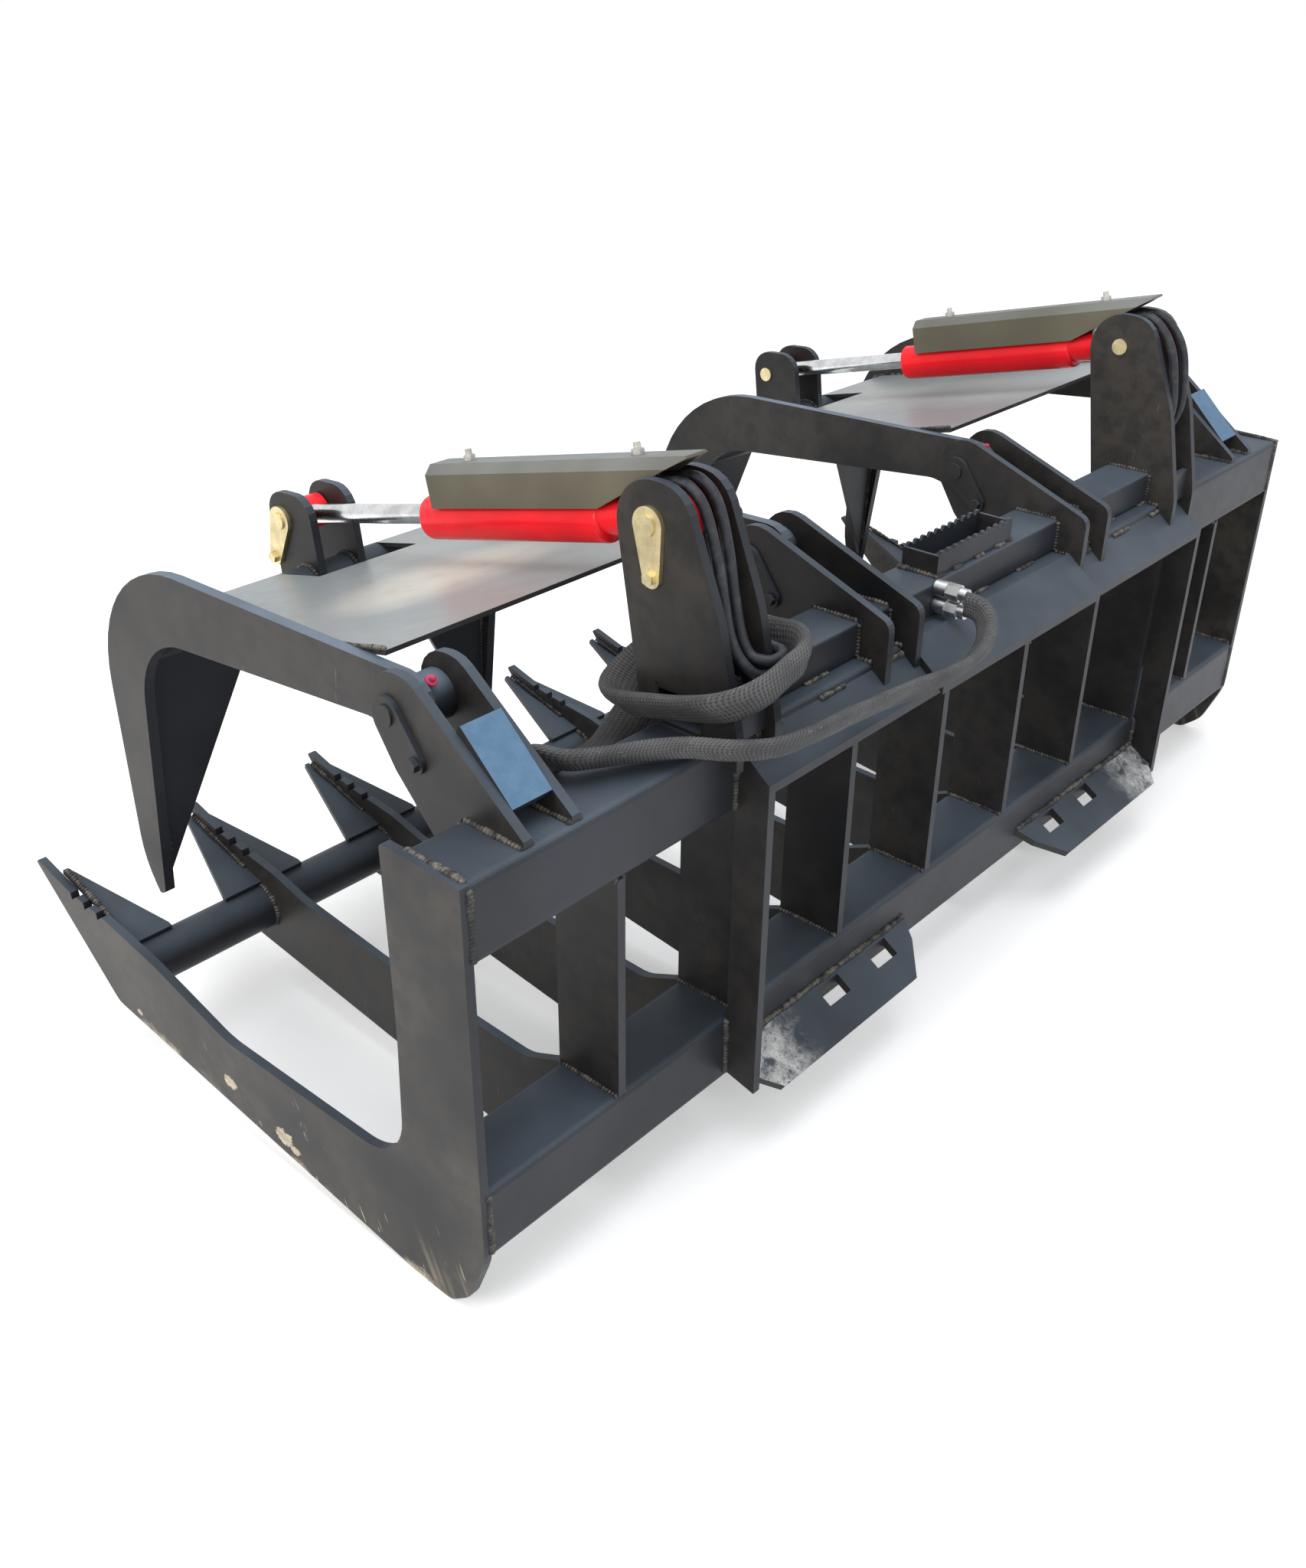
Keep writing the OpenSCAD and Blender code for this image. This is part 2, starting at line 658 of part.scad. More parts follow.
// The sheet falls from just behind the pivot to the top of the cross tube.
sheet_back = [pivot[0] - arm_reach * 0.055, pivot[1] + arm_drop * 0.105];
sheet_front = [cross[0] - cross_d * 0.1, cross[1] + cross_d * 0.5];
module sheet() cut_cross() difference() {
    slab(mid_x, span) polygon([sheet_back, sheet_front,
        [sheet_front[0], sheet_front[1] - sheet_t], [sheet_back[0], sheet_back[1] - sheet_t]]);
    translate([clamp_x - notch_w / 2, sheet_front[0] - overrun, sheet_front[1] - notch_l])
        cube([notch_w, notch_l + overrun, notch_l * 2]);
}

module near_sheet() color(steel) placed() sheet();
module far_sheet() color(steel) far_clamp() sheet();

// Shares of the cross tube's diameter, from the rod pin
rod_ear_shares = [[-0.25, -1.66, 0], [-0.55, 0.68, 0.55], [1.08, 0.78, 0.6], [1.36, -1.36, 0]];
module rod_ears() cut_cross() difference() {
    for (x = ear_planes(clamp_x)) slab(x, ear_t)
        polygon(rounded(from_shares(rod_ear_shares, rod_pin, cross_d, cross_d)));
    bar_x(0, clamp_x * 2, rod_pin[0], rod_pin[1], pin_d + 2 * run_gap);
}

module near_rod_ears() color(black) placed() rod_ears();
module far_rod_ears() color(black) far_clamp() rod_ears();

module rod_keeper() {
    pin(clamp_x, rod_pin[0], rod_pin[1], 1, -108);
}

module near_rod_pin() color(zinc) placed() rod_keeper();
module far_rod_pin() color(zinc) far_stand() rod_keeper();

// Claw wings: a triangle on the inner face of each claw, below the cross tube
wing_low = [pivot[0] - arm_reach * 0.935, pivot[1] - arm_drop * 0.92];
wing_high = [cross[0] - claw_wing_t / 2, cross[1]];
wing_h = norm(wing_high - wing_low);
wing_lean = atan2(wing_high[0] - wing_low[0], wing_high[1] - wing_low[1]);
module claw_wing(s) {
    translate([mid_x + s * span / 2, wing_low[0], wing_low[1]]) rotate([-wing_lean, 0, 0])
        rotate([90, 0, 0]) translate([0, 0, -claw_wing_t / 2]) linear_extrude(claw_wing_t)
            polygon([[0, 0], [-s * claw_wing_w, wing_h], [0, wing_h]]);
}

module claw_wings() cut_cross() {
    claw_wing(1);
    claw_wing(-1);
}

module near_claw_wings() color(black) placed() claw_wings();
module far_claw_wings() color(black) far_clamp() claw_wings();

// Cylinder, drawn along Y from the rod pin and then tilted to the tower pin
module on_axis() {
    translate([clamp_x, rod_pin[0], rod_pin[1]]) rotate([cyl_tilt, 0, 0]) children();
}

module along(y0, y1, d) {
    translate([0, y0, 0]) rotate([-90, 0, 0]) cylinder(h = y1 - y0, d = d);
}

module across(y, z, w, d) {
    translate([-w / 2, y, z]) rotate([0, 90, 0]) cylinder(h = w, d = d);
}

eye_bore = pin_d + 2 * open_play;
eye_d = eye_bore + 2 * eye_wall;
eye_w = ear_gap * 0.86;
gland_l = barrel_bore * 0.6;
bore_end = cyl_l - eye_d / 2 - barrel_d * 0.3;
module barrel() on_axis() difference() {
    union() {
        along(rod_show, cyl_l - eye_d * 0.36, barrel_d);
        across(cyl_l, 0, eye_w, eye_d);
    }
    along(rod_show - overrun, rod_show + gland_l + overrun, rod_d + 2 * run_gap);
    along(rod_show + gland_l, bore_end, barrel_bore);
    across(cyl_l, 0, eye_w + 2 * overrun, eye_bore);
}

module near_barrel() color(red) placed() barrel();
module far_barrel() color(red) far_stand() barrel();

piston_l = barrel_bore * 0.5;
module rod() on_axis() {
    along(rod_eye_d / 2, rod_show + gland_l + piston_l, rod_d);
    along(rod_show + gland_l + overrun, rod_show + gland_l + piston_l + overrun,
        barrel_bore - 2 * run_gap);
}

module near_rod() color(steel) placed() rod();
module far_rod() color(steel) far_stand() rod();

module rod_eye() on_axis() difference() {
    across(0, 0, eye_w, rod_eye_d);
    across(0, 0, eye_w + 2 * overrun, pin_d + 2 * run_gap);
    along(rod_eye_d / 2, rod_eye_d, rod_d);
}

module near_rod_eye() color(red) placed() rod_eye();
module far_rod_eye() color(red) far_stand() rod_eye();

// Guard: a folded cover that stands on two studs on the barrel
guard_half = ear_gap / 2 - side_play;
guard_front = rod_show + guard_low * 2.5;
guard_back = cyl_l + guard_low * 3.4;
guard_cut = cyl_l * 0.865;
stud_d = guard_t * 3;
stud_at = [cyl_l * 0.541, cyl_l * 0.945];
module guard_section(o) {
    h = guard_half - o;
    c = guard_half * 0.42;
    polygon([[-h, guard_low], [-h, guard_up - c - o * 0.4], [-h + c, guard_up - o],
        [h - c, guard_up - o], [h, guard_up - c - o * 0.4], [h, guard_low]]);
}

module guard() on_axis() {
    difference() {
        translate([0, guard_back, 0]) rotate([90, 0, 0]) linear_extrude(guard_back - guard_front)
            difference() {
                guard_section(0);
                translate([0, -guard_t]) guard_section(guard_t);
            }
        translate([-barrel_d, 0, 0]) rotate([90, 0, 90]) linear_extrude(2 * barrel_d)
            polygon([[guard_cut, guard_low - overrun], [guard_back, guard_up - guard_t],
                [guard_back + overrun, guard_up - guard_t], [guard_back + overrun, guard_low - overrun]]);
    }
    for (y = stud_at) difference() {
        translate([0, y, 0]) cylinder(h = guard_up - guard_t, d = stud_d);
        along(rod_show, cyl_l, barrel_d);
    }
    for (y = stud_at) translate([0, y, guard_up]) {
        cylinder(h = stud_d * 1.6, d = stud_d);
        cylinder(h = stud_d * 0.8, d = stud_d * 1.8, $fn = 6);
    }
}

module near_guard() color(black) placed() guard();
module far_guard() color(black) far_stand() guard();

// Two hose fittings on the base end of the barrel
port_y = cyl_l - eye_d * 0.80;
fit_d = hose_d * 1.35;
port_x = (stud_d + fit_d) / 2 + 2 * weld_gap;
port_up = barrel_d * 0.5 + fit_d * 1.35;
module fittings() on_axis() for (s = [-1, 1]) difference() {
    union() {
        translate([s * port_x, port_y, 0]) cylinder(h = port_up, d = fit_d);
        translate([s * port_x, port_y, port_up - fit_d / 2]) rotate([-90, 0, 0])
            cylinder(h = fit_d * 1.6, d = fit_d);
    }
    along(rod_show, cyl_l, barrel_d);
}

module near_fittings() color(steel) placed() fittings();
module far_fittings() color(steel) far_stand() fittings();

// Tubes swept along a route of points, w wide upwards and t thick
function catmull(a, b, c, d, t) = 0.5 * (2 * b + (c - a) * t + (2 * a - 5 * b + 4 * c - d) * t * t
    + (3 * b - 3 * c + d - a) * t * t * t);
function smooth(p, steps) = let (n = len(p)) concat(
    [for (i = [0:n - 2]) for (k = [0:steps - 1])
        catmull(p[max(i - 1, 0)], p[i], p[i + 1], p[min(i + 2, n - 1)], k / steps)],
    [p[n - 1]]);
function heading(p, i) = unit(p[min(i + 1, len(p) - 1)] - p[max(i - 1, 0)]);
function upright(v, t) = unit(v - (v * t) * t);
// Side vectors carried along the route without twist.
function carried(p, i, v) =
    let (w = upright(v, heading(p, i)))
    i == len(p) - 1 ? [w] : concat([w], carried(p, i + 1, w));
module swept(p, w, t, sides) {
    n = len(p);
    side = carried(p, 0, [0, 0.02, 1]);
    pts = [for (i = [0:n - 1])
        let (u = side[i], c = cross(heading(p, i), u))
        for (k = [0:sides - 1])
            p[i] + w / 2 * cos(360 * k / sides) * u + t / 2 * sin(360 * k / sides) * c];
    polyhedron(pts, concat(
        [[for (k = [0:sides - 1]) k]],
        [for (i = [0:n - 2]) for (k = [0:sides - 1]) each
            [[i * sides + k, (i + 1) * sides + k, (i + 1) * sides + (k + 1) % sides],
            [i * sides + k, (i + 1) * sides + (k + 1) % sides, i * sides + (k + 1) % sides]]],
        [[for (k = [sides - 1:-1:0]) (n - 1) * sides + k]]));
}

// Hoses from the fittings down between the tower's plates, X from the clamp's plane
function from_axis(p) = [p[0],
    rod_pin[0] + p[1] * cos(cyl_tilt) - p[2] * sin(cyl_tilt),
    rod_pin[1] + p[1] * sin(cyl_tilt) + p[2] * cos(cyl_tilt)];
fit_end = port_y + fit_d * 1.6;
fit_axis = port_up - fit_d / 2;
// Each route point is [x, y, height above the upper tube], and a second list holds
// the offset of each hose of the pair from it.
near_drop = [[0, -86, 289], [0, -60, 270], [0, -42, 223], [0, -30, 171], [0, -22, 137], [0, -12, 112],
    [-2, 0, 96], [-9, 12, 88], [-22, 20, 86], [-39, 22, 87], [-51, 13, 87], [-53, 0, 87], [-53, -8, 87],
    [-53, -15.6, 87]];
near_spread = [[13, 0, 0], [12, 0, 0], [11, 0, 0], [10, 0, 0], [10, 0, 0], [9, 0, 0],
    [9, 2, -2], [6, 2, -7], [0, 0, -8.4], [0, 0, -8.4], [0, 0, -8.4], [0, 0, -8.4], [0, 0, -8.4],
    [0, 0, -8.4]];
far_drop = [[0, -86, 292], [0, -58, 278], [0, -34, 246], [0, -22, 201], [0, -18, 151], [0, -30, 114],
    [0, -46, 94], [0, -56, 80], [0, -56, 66], [0, -56, 58], [0, -56, rail_h + weld_gap]];
far_spread = [[15, 0, 0], [17, 0, 0], [19, 0, 0], [19, 0, 0], [16, 0, 0], [13, 0, 0],
    [11, 0, 0], [10, 0, 0], [10, 0, 0], [10, 0, 0], [10, 0, 0]];
function above_tube(p) = p + [0, 0, tube_top];
module hose_pair(route, spread) {
    for (s = [-1, 1]) translate([clamp_x, 0, 0]) swept(smooth(concat(
        [for (k = [0:2]) from_axis([s * port_x, fit_end + weld_gap + k * hose_d, fit_axis])],
        [for (i = [0:len(route) - 1]) above_tube(route[i] + s * spread[i])]), 2), hose_d, hose_d, 8);
}

module near_hoses() color(rubber) placed() hose_pair(near_drop, near_spread);
module far_hoses() color(rubber) far_stand() hose_pair(far_drop, far_spread);

// The flat sleeve starts beside the near tower, goes once round it, comes back over the
// upper tube and runs along the lip to the couplers.
sleeve_route = [[535, -16, 87], [535, -28, 87], [535, -40, 87], [534, -84, 85], [533, -128, 70],
    [543, -160, 50], [580, -174, 31], [616, -168, 20], [643, -148, 17], [652, -112, 26],
    [655, -66, 39], [655, -22, 51], [648, 14, 62], [626, 34, 71], [598, 42, 79], [568, 42, 87],
    [534, 38, 92], [512, 16, 93], [508, -16, 89], [508, -60, 84], [508, -100, 81], [512, -144, 54],
    [520, -174, 18], [534, -190, -12], [560, -192, -35], [605, -180, -49], [660, -160, -51], [715, -146, -43],
    [765, -136, -25], [800, -126, 2], [817, -101, 26], [808, -72, 28], [775, -52, 26],
    [730, -30, 24], [690, 0, 23], [660, 40, 22], [625, 66, 20], [580, 76, 17], [520, 78, 14],
    [450, 76, 7], [370, 76, -1], [290, 80, -9], [225, 82, -11], [180, 80, -3], [150, 70, 11],
    [136, 58, 24], [132, 46, 31], [132, 35, 31], [132, 24, 31]];
sleeve_line = smooth([for (p = sleeve_route) above_tube(p)], 2);
module sleeve() color(rubber) placed() swept(sleeve_line, sleeve_w, sleeve_t, 10);

// Least gap between two stretches of the upright flat sleeve, five route points apart or more
fine_step = 5;
fine_line = smooth(sleeve_route, fine_step);
sleeve_gap = min([for (i = [0:len(fine_line) - 1])
    for (j = [i + fine_step * 5:1:len(fine_line) - 1])
        let (d = fine_line[i] - fine_line[j]) max(norm(flat(d)) - sleeve_t, abs(d[2]) - sleeve_w)]);
echo(sleeve_gap = sleeve_gap);

// Two quick couplers, one above the other, on the strip of tube behind the rail
coupler_end = sleeve_line[len(sleeve_line) - 1] - [0, weld_gap, 0];
module coupler(dz) {
    r = coupler_l;
    translate(coupler_end + [0, 0, dz]) rotate([90, 0, 0]) {
        cylinder(h = r * 0.3, d = coupler_d * 0.62);
        translate([0, 0, r * 0.18]) cylinder(h = r * 0.3, d = coupler_d * 0.8, $fn = 6);
        translate([0, 0, r * 0.48]) cylinder(h = r * 0.3, d = coupler_d * 0.8);
    }
}

module couplers() color(steel) placed() for (s = [-1, 1]) coupler(s * coupler_d * 0.42);

near_end_plate();
far_end_plate();
tine_1();
tine_2();
tine_3();
tine_4();
tine_5();
tine_6();
tine_7();
tine_8();
tip_wings();
uprights();
front_pipe();
lower_tube();
upper_tube();
top_rail();
step();
near_side_plate();
far_side_plate();
top_lip();
lip_cover();
near_foot();
far_foot();
near_brackets();
far_brackets();
near_tower();
far_tower();
near_pivot_pins();
far_pivot_pins();
near_tower_pin();
far_tower_pin();
near_outer_arm();
near_inner_arm();
near_claw_wings();
near_sheet();
near_cross_tube();
near_rod_ears();
near_rod_pin();
far_outer_arm();
far_inner_arm();
far_claw_wings();
far_sheet();
far_cross_tube();
far_rod_ears();
far_rod_pin();
near_barrel();
near_guard();
near_fittings();
near_rod();
near_rod_eye();
far_barrel();
far_guard();
far_fittings();
far_rod();
far_rod_eye();
near_hoses();
far_hoses();
sleeve();
couplers();
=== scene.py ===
import math

import bpy
from bpy.props import FloatProperty, FloatVectorProperty, PointerProperty
from mathutils import Matrix, Vector


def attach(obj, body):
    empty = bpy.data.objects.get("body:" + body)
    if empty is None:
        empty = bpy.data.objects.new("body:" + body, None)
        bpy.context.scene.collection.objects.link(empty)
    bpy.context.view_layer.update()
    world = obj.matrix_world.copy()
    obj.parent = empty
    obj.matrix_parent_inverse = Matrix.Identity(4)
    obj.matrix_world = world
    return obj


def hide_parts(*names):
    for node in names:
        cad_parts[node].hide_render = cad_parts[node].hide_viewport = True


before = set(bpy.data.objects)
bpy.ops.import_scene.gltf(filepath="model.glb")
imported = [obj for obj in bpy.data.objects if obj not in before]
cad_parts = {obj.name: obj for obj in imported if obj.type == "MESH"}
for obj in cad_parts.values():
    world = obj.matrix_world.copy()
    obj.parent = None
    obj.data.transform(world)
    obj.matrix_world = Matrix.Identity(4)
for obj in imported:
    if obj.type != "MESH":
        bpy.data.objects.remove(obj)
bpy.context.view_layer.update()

bl_info = {
    "name": "Root grapple",
    "version": (1, 0, 0),
    "blender": (4, 5, 0),
    "location": "View3D > Sidebar > Grapple",
    "description": "Hoses, sleeve, welds, fittings, finishes and stage of a two-clamp root grapple",
    "category": "Object",
}

# Millimetres behind the tubes' rear faces and above the lower tube, moved into the frame.
MID_Y = 453.5
HEEL = 110.0


def at(x, y, z):
    return Vector((x, y + MID_Y, z + HEEL)) / 1000


# Main places, in millimetres, as in the part's source
TINE_PITCH = 228.6
TINE_T = 12.7
TUBE = 101.6
FRAME_H = 519.0
RAIL_H = 50.8
RAIL_W = 76.2
END_X = 4.5 * TINE_PITCH
PIPE = (-740.0, 46.0)
PIPE_D = 69.0
CLAMP_X = 588.0
FAR_CLAMP_X = 563.0
BRACKET_X = 311.0
EAR_GAP = 58.6
EAR_T = 12.7
PIVOT = (-210.0, 607.0)
ROD_PIN = (-832.0, 593.0)
CYL_L = math.hypot(720.0, 170.0)
CYL_TILT = math.atan2(170.0, 720.0)
ROD_SHOW = 303.0
ROD_D = 28.0
BARREL_END = 640.0
ROD_PLAY = 0.0004
PISTON_ROOM = 0.0206
CROSS = (-780.1, 505.0)
QA_W = 1196.0
LIP_Z = FRAME_H - 9.0
STEP_X = 20.0
ARM_T = 15.9
OUTER_X = CLAMP_X + BRACKET_X
INNER_X = CLAMP_X - BRACKET_X
OUTER_ARM = OUTER_X + EAR_GAP / 2 - 0.5 - ARM_T / 2
INNER_ARM = INNER_X + EAR_GAP * 0.1
SIDES = ("near", "far")


def tine_x(i):
    return END_X - i * TINE_PITCH


def stand(side, x):
    """The far tower and its brackets mirror the near ones, a little closer to the middle."""
    return x if side == "near" else CLAMP_X - FAR_CLAMP_X - x


def clamp(side, x):
    """The far clamp is the near one moved along the grapple."""
    return x if side == "near" else x - CLAMP_X - FAR_CLAMP_X


# Objects and meshes

def deselect():
    if bpy.context.object and bpy.context.object.mode != "OBJECT":
        bpy.ops.object.mode_set(mode="OBJECT")
    bpy.ops.object.select_all(action="DESELECT")


def settle(obj, name, body, finish):
    """Names a finished piece, puts its place into its mesh and lets it move with a body."""
    obj.name = name
    obj.data.name = name
    obj.data.transform(obj.matrix_world)
    obj.matrix_world = Matrix.Identity(4)
    obj.data.materials.clear()
    obj.data.materials.append(finish)
    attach(obj, body)
    return obj


def mesh_object(name, verts, faces):
    mesh = bpy.data.meshes.new(name)
    mesh.from_pydata([tuple(v) for v in verts], [], faces)
    mesh.update()
    obj = bpy.data.objects.new(name, mesh)
    bpy.context.scene.collection.objects.link(obj)
    return obj


def gathered(unit, places, name):
    """One object with a copy of the unit's mesh at each place."""
    base = [v.co.copy() for v in unit.data.vertices]
    polys = [tuple(p.vertices) for p in unit.data.polygons]
    verts, faces = [], []
    for place in places:
        start = len(verts)
        verts += [place @ v for v in base]
        faces += [tuple(start + k for k in p) for p in polys]
    return mesh_object(name, verts, faces)


def smooth_faces(obj, angle=40):
    deselect()
    obj.select_set(True)
    bpy.context.view_layer.objects.active = obj
    bpy.ops.object.shade_smooth_by_angle(angle=math.radians(angle))


# Shader maths

class Value:
    """A node socket that can be used in an expression."""

    def __init__(self, shader, socket):
        self.shader = shader
        self.socket = socket

    def math(self, operation, *others):
        node = self.shader.add("ShaderNodeMath", [self, *others], operation=operation)
        return node[0]

    def __add__(self, other):
        return self.math("ADD", other)

    __radd__ = __add__

    def __sub__(self, other):
        return self.math("SUBTRACT", other)

    def __rsub__(self, other):
        return self.shader.add("ShaderNodeMath", [other, self], operation="SUBTRACT")[0]

    def __mul__(self, other):
        return self.math("MULTIPLY", other)

    __rmul__ = __mul__

    def __truediv__(self, other):
        return self.math("DIVIDE", other)

    def __rtruediv__(self, other):
        return self.shader.add("ShaderNodeMath", [other, self], operation="DIVIDE")[0]

    def __pow__(self, other):
        return self.math("POWER", other)

    def absolute(self):
        return self.math("ABSOLUTE")

    def most(self, other):
        return self.math("MAXIMUM", other)

    def least(self, other):
        return self.math("MINIMUM", other)

    def between(self, low, high):
        """0 at low and 1 at high, eased; low may be the larger."""
        node = self.shader.add(
            "ShaderNodeMapRange", {"Value": self, "From Min": low, "From Max": high},
            interpolation_type="SMOOTHSTEP",
        )
        return node["Result"]


class Shader:
    """Builds one material node by node."""

    def __init__(self, name):
        self.material = bpy.data.materials.new(name)
        self.material.use_nodes = True
        self.tree = self.material.node_tree
        self.tree.nodes.clear()
        self.outer = self.tree.nodes.new("ShaderNodeOutputMaterial")

    def add(self, kind, inputs=(), **settings):
        node = self.tree.nodes.new(kind)
        for key, value in settings.items():
            if key == "stops":
                ramp = node.color_ramp
                while len(ramp.elements) < len(value):
                    ramp.elements.new(0.5)
                for element, (place, colour) in zip(ramp.elements, value):
                    element.position = place
                    element.color = (*colour, 1)
            else:
                setattr(node, key, value)
        pairs = inputs.items() if isinstance(inputs, dict) else enumerate(inputs)
        for key, value in pairs:
            socket = node.inputs[key]
            if isinstance(value, Value):
                self.tree.links.new(value.socket, socket)
            elif hasattr(value, "__len__") and len(value) == 3 and socket.type == "RGBA":
                socket.default_value = (*value, 1)
            else:
                socket.default_value = value
        return Outputs(self, node)

    def place(self):
        return self.add("ShaderNodeTexCoord")["Object"]

    def facing(self):
        return self.add("ShaderNodeTexCoord")["Normal"]

    def parts(self, vector):
        node = self.add("ShaderNodeSeparateXYZ", [vector])
        return node["X"], node["Y"], node["Z"]

    def noise(self, where, scale, detail=4.0, rough=0.55, stretch=None):
        if stretch:
            where = self.add("ShaderNodeMapping", {"Vector": where, "Scale": stretch})["Vector"]
        return self.add(
            "ShaderNodeTexNoise",
            {"Vector": where, "Scale": scale, "Detail": detail, "Roughness": rough},
        )["Fac"]

    def mix(self, share, first, second):
        node = self.add("ShaderNodeMix", {0: share, 6: first, 7: second}, data_type="RGBA")
        return Value(self, node.node.outputs[2])

    def bump(self, height, strength, distance=0.001):
        return self.add(
            "ShaderNodeBump", {"Height": height, "Strength": strength, "Distance": distance}
        )["Normal"]

    def surface(self, **sockets):
        inputs = {key.replace("_", " "): value for key, value in sockets.items()}
        node = self.add("ShaderNodeBsdfPrincipled", inputs)
        self.tree.links.new(node["BSDF"].socket, self.outer.inputs["Surface"])
        return self.material


class Outputs:
    def __init__(self, shader, node):
        self.shader = shader
        self.node = node

    def __getitem__(self, key):
        return Value(self.shader, self.node.outputs[key])


FINISHES = {}


def finish(name, maker, *args):
    if name not in FINISHES:
        FINISHES[name] = maker(name, *args)
    return FINISHES[name]


def settings():
    return bpy.context.scene.grapple


def painted(name, colour, wear_and_sheen=None, side_dust_and_light=1.0, top_dust_and_sky=1.0, gloss=0.36, relief=0.08):
    """Satin paint with settled dust, faint scratches and, where the given wear function says so, bare metal,
    zinc or a painted sky reflection; the side tint adds painted warm light to the dust, the top tint adds a
    painted bluish sky reflection to the dust, and the faces that look back get a painted sky reflection.
    """
    s = Shader(name)
    finishes = settings().finish
    where = s.place()
    px, py, pz = s.parts(where)
    nx, ny, nz = s.parts(s.facing())
    large = s.noise(where, 4.0, 3.0)
    middle = s.noise(where, 34.0, 5.0, 0.62)
    fine = s.noise(where, 260.0, 3.0, 0.6)
    tone = s.mix(large.between(0.35, 0.68), tuple(c * 0.8 for c in colour), tuple(c * 1.2 for c in colour))
    # Dust on the side faces, together with painted warm light that brightens them.
    side = nx.absolute().between(0.3, 0.95) * (0.35 + middle.between(0.30, 0.62) * 0.65)
    tone = s.mix(side * large.between(0.25, 0.60) * 0.16 * side_dust_and_light, tone, tuple(finishes.dust_and_warm_light_colour))
    # Painted sky reflection: a bluish tint on the faces that look back.
    rear = ny.between(0.3, 0.95) * (0.5 + large.between(0.3, 0.7) * 0.5)
    tone = s.mix(rear * 0.06, tone, tuple(finishes.sky_reflection_colour))
    # Dust on the faces that look up, together with a painted bluish sky reflection.
    top = nz.between(0.25, 0.95) * (0.45 + large.between(0.3, 0.7) * 0.55)
    tone = s.mix(top * 0.26 * top_dust_and_sky, tone, tuple(finishes.settled_dust_and_sky_colour))
    specks = fine.between(0.63, 0.74) * middle.between(0.45, 0.6)
    tone = s.mix(specks * (0.14 * side_dust_and_light), tone, tuple(finishes.dust_and_warm_light_colour))
    scratch = s.noise(where, 22.0, 6.0, 0.7, (1.0, 7.0, 0.8)).between(0.665, 0.70) * large.between(0.45, 0.6)
    tone = s.mix(scratch * (0.20 * side_dust_and_light), tone, (0.22, 0.21, 0.20))
    rough = gloss + middle * 0.14 + top * 0.10 + specks * 0.1
    metal = 0.0
    height = middle * 0.5 + fine * 0.12
    if wear_and_sheen:
        # The wear function gives the share and colours of bare metal, zinc or, on the brace plates, a painted
        # sky reflection.
        overlay_share, overlay_colours, bare_metal = wear_and_sheen(s, px, py, pz, nx, ny, nz, middle, fine)
        streak = s.noise(where, 60.0, 5.0, 0.7, (1.0, 0.25, 1.6))
        tone = s.mix(overlay_share, tone, s.mix(streak.between(0.35, 0.7), overlay_colours[0], overlay_colours[1]))
        rough = rough + overlay_share * (streak * 0.25 - 0.08)
        metal = overlay_share * bare_metal
        height = height - overlay_share * 0.3
    return s.surface(
        Base_Color=tone, Roughness=rough, Metallic=metal, Normal=s.bump(height, relief, 0.002),
        Specular_IOR_Level=0.22,
    )


# Shares of side dust with painted warm light and of top dust with painted sky reflection, roughness and
# relief of the red paint
RED_FINISH = (0.05, 0.1, 0.16, 0.01)
STEEL_PAIR = ((0.20, 0.185, 0.165), (0.48, 0.46, 0.43))


def tine_wear(s, x, y, z, nx, ny, nz, middle, fine):
    """Scraped paint along the lower edge and the tips of a tine."""
    under = z - (HEEL - 83.0) / 1000 + (y - (MID_Y - 375.0) / 1000) * 0.11
    low = (under + middle * 0.030).between(0.034, 0.004) * (0.35 + fine * 0.9)
    tip = (y + middle * 0.10).between((MID_Y - 840) / 1000, (MID_Y - 930) / 1000) * middle.between(0.42, 0.58)
    heel = (z + middle * 0.05).between(0.075, 0.035) * y.between((MID_Y - 200) / 1000, (MID_Y - 120) / 1000)
    overlay_share = low.most(tip * 0.55).most(heel * 0.8).least(1.0)
    return overlay_share, STEEL_PAIR, 0.7


def foot_wear(s, x, y, z, nx, ny, nz, middle, fine):
    """Bare metal where the loader's plate has rubbed each lip beside its side plate."""
    outer = (x.absolute() + middle * 0.10).between(0.50, 0.60)
    speckle = middle.between(0.36, 0.50) * fine.between(0.30, 0.45)
    return (outer * speckle * nz.between(0.2, 0.7)).least(1.0), ((0.30, 0.30, 0.30), (0.62, 0.62, 0.61)), 0.6


# Centre, half length and half height of the large scuffs on the near end plate, in millimetres
SCUFFS = [((-512, -26), (17, 12)), ((-393, -52), (24, 15)), ((-372, -62), (14, 8)), ((-738, -26), (8, 7))]


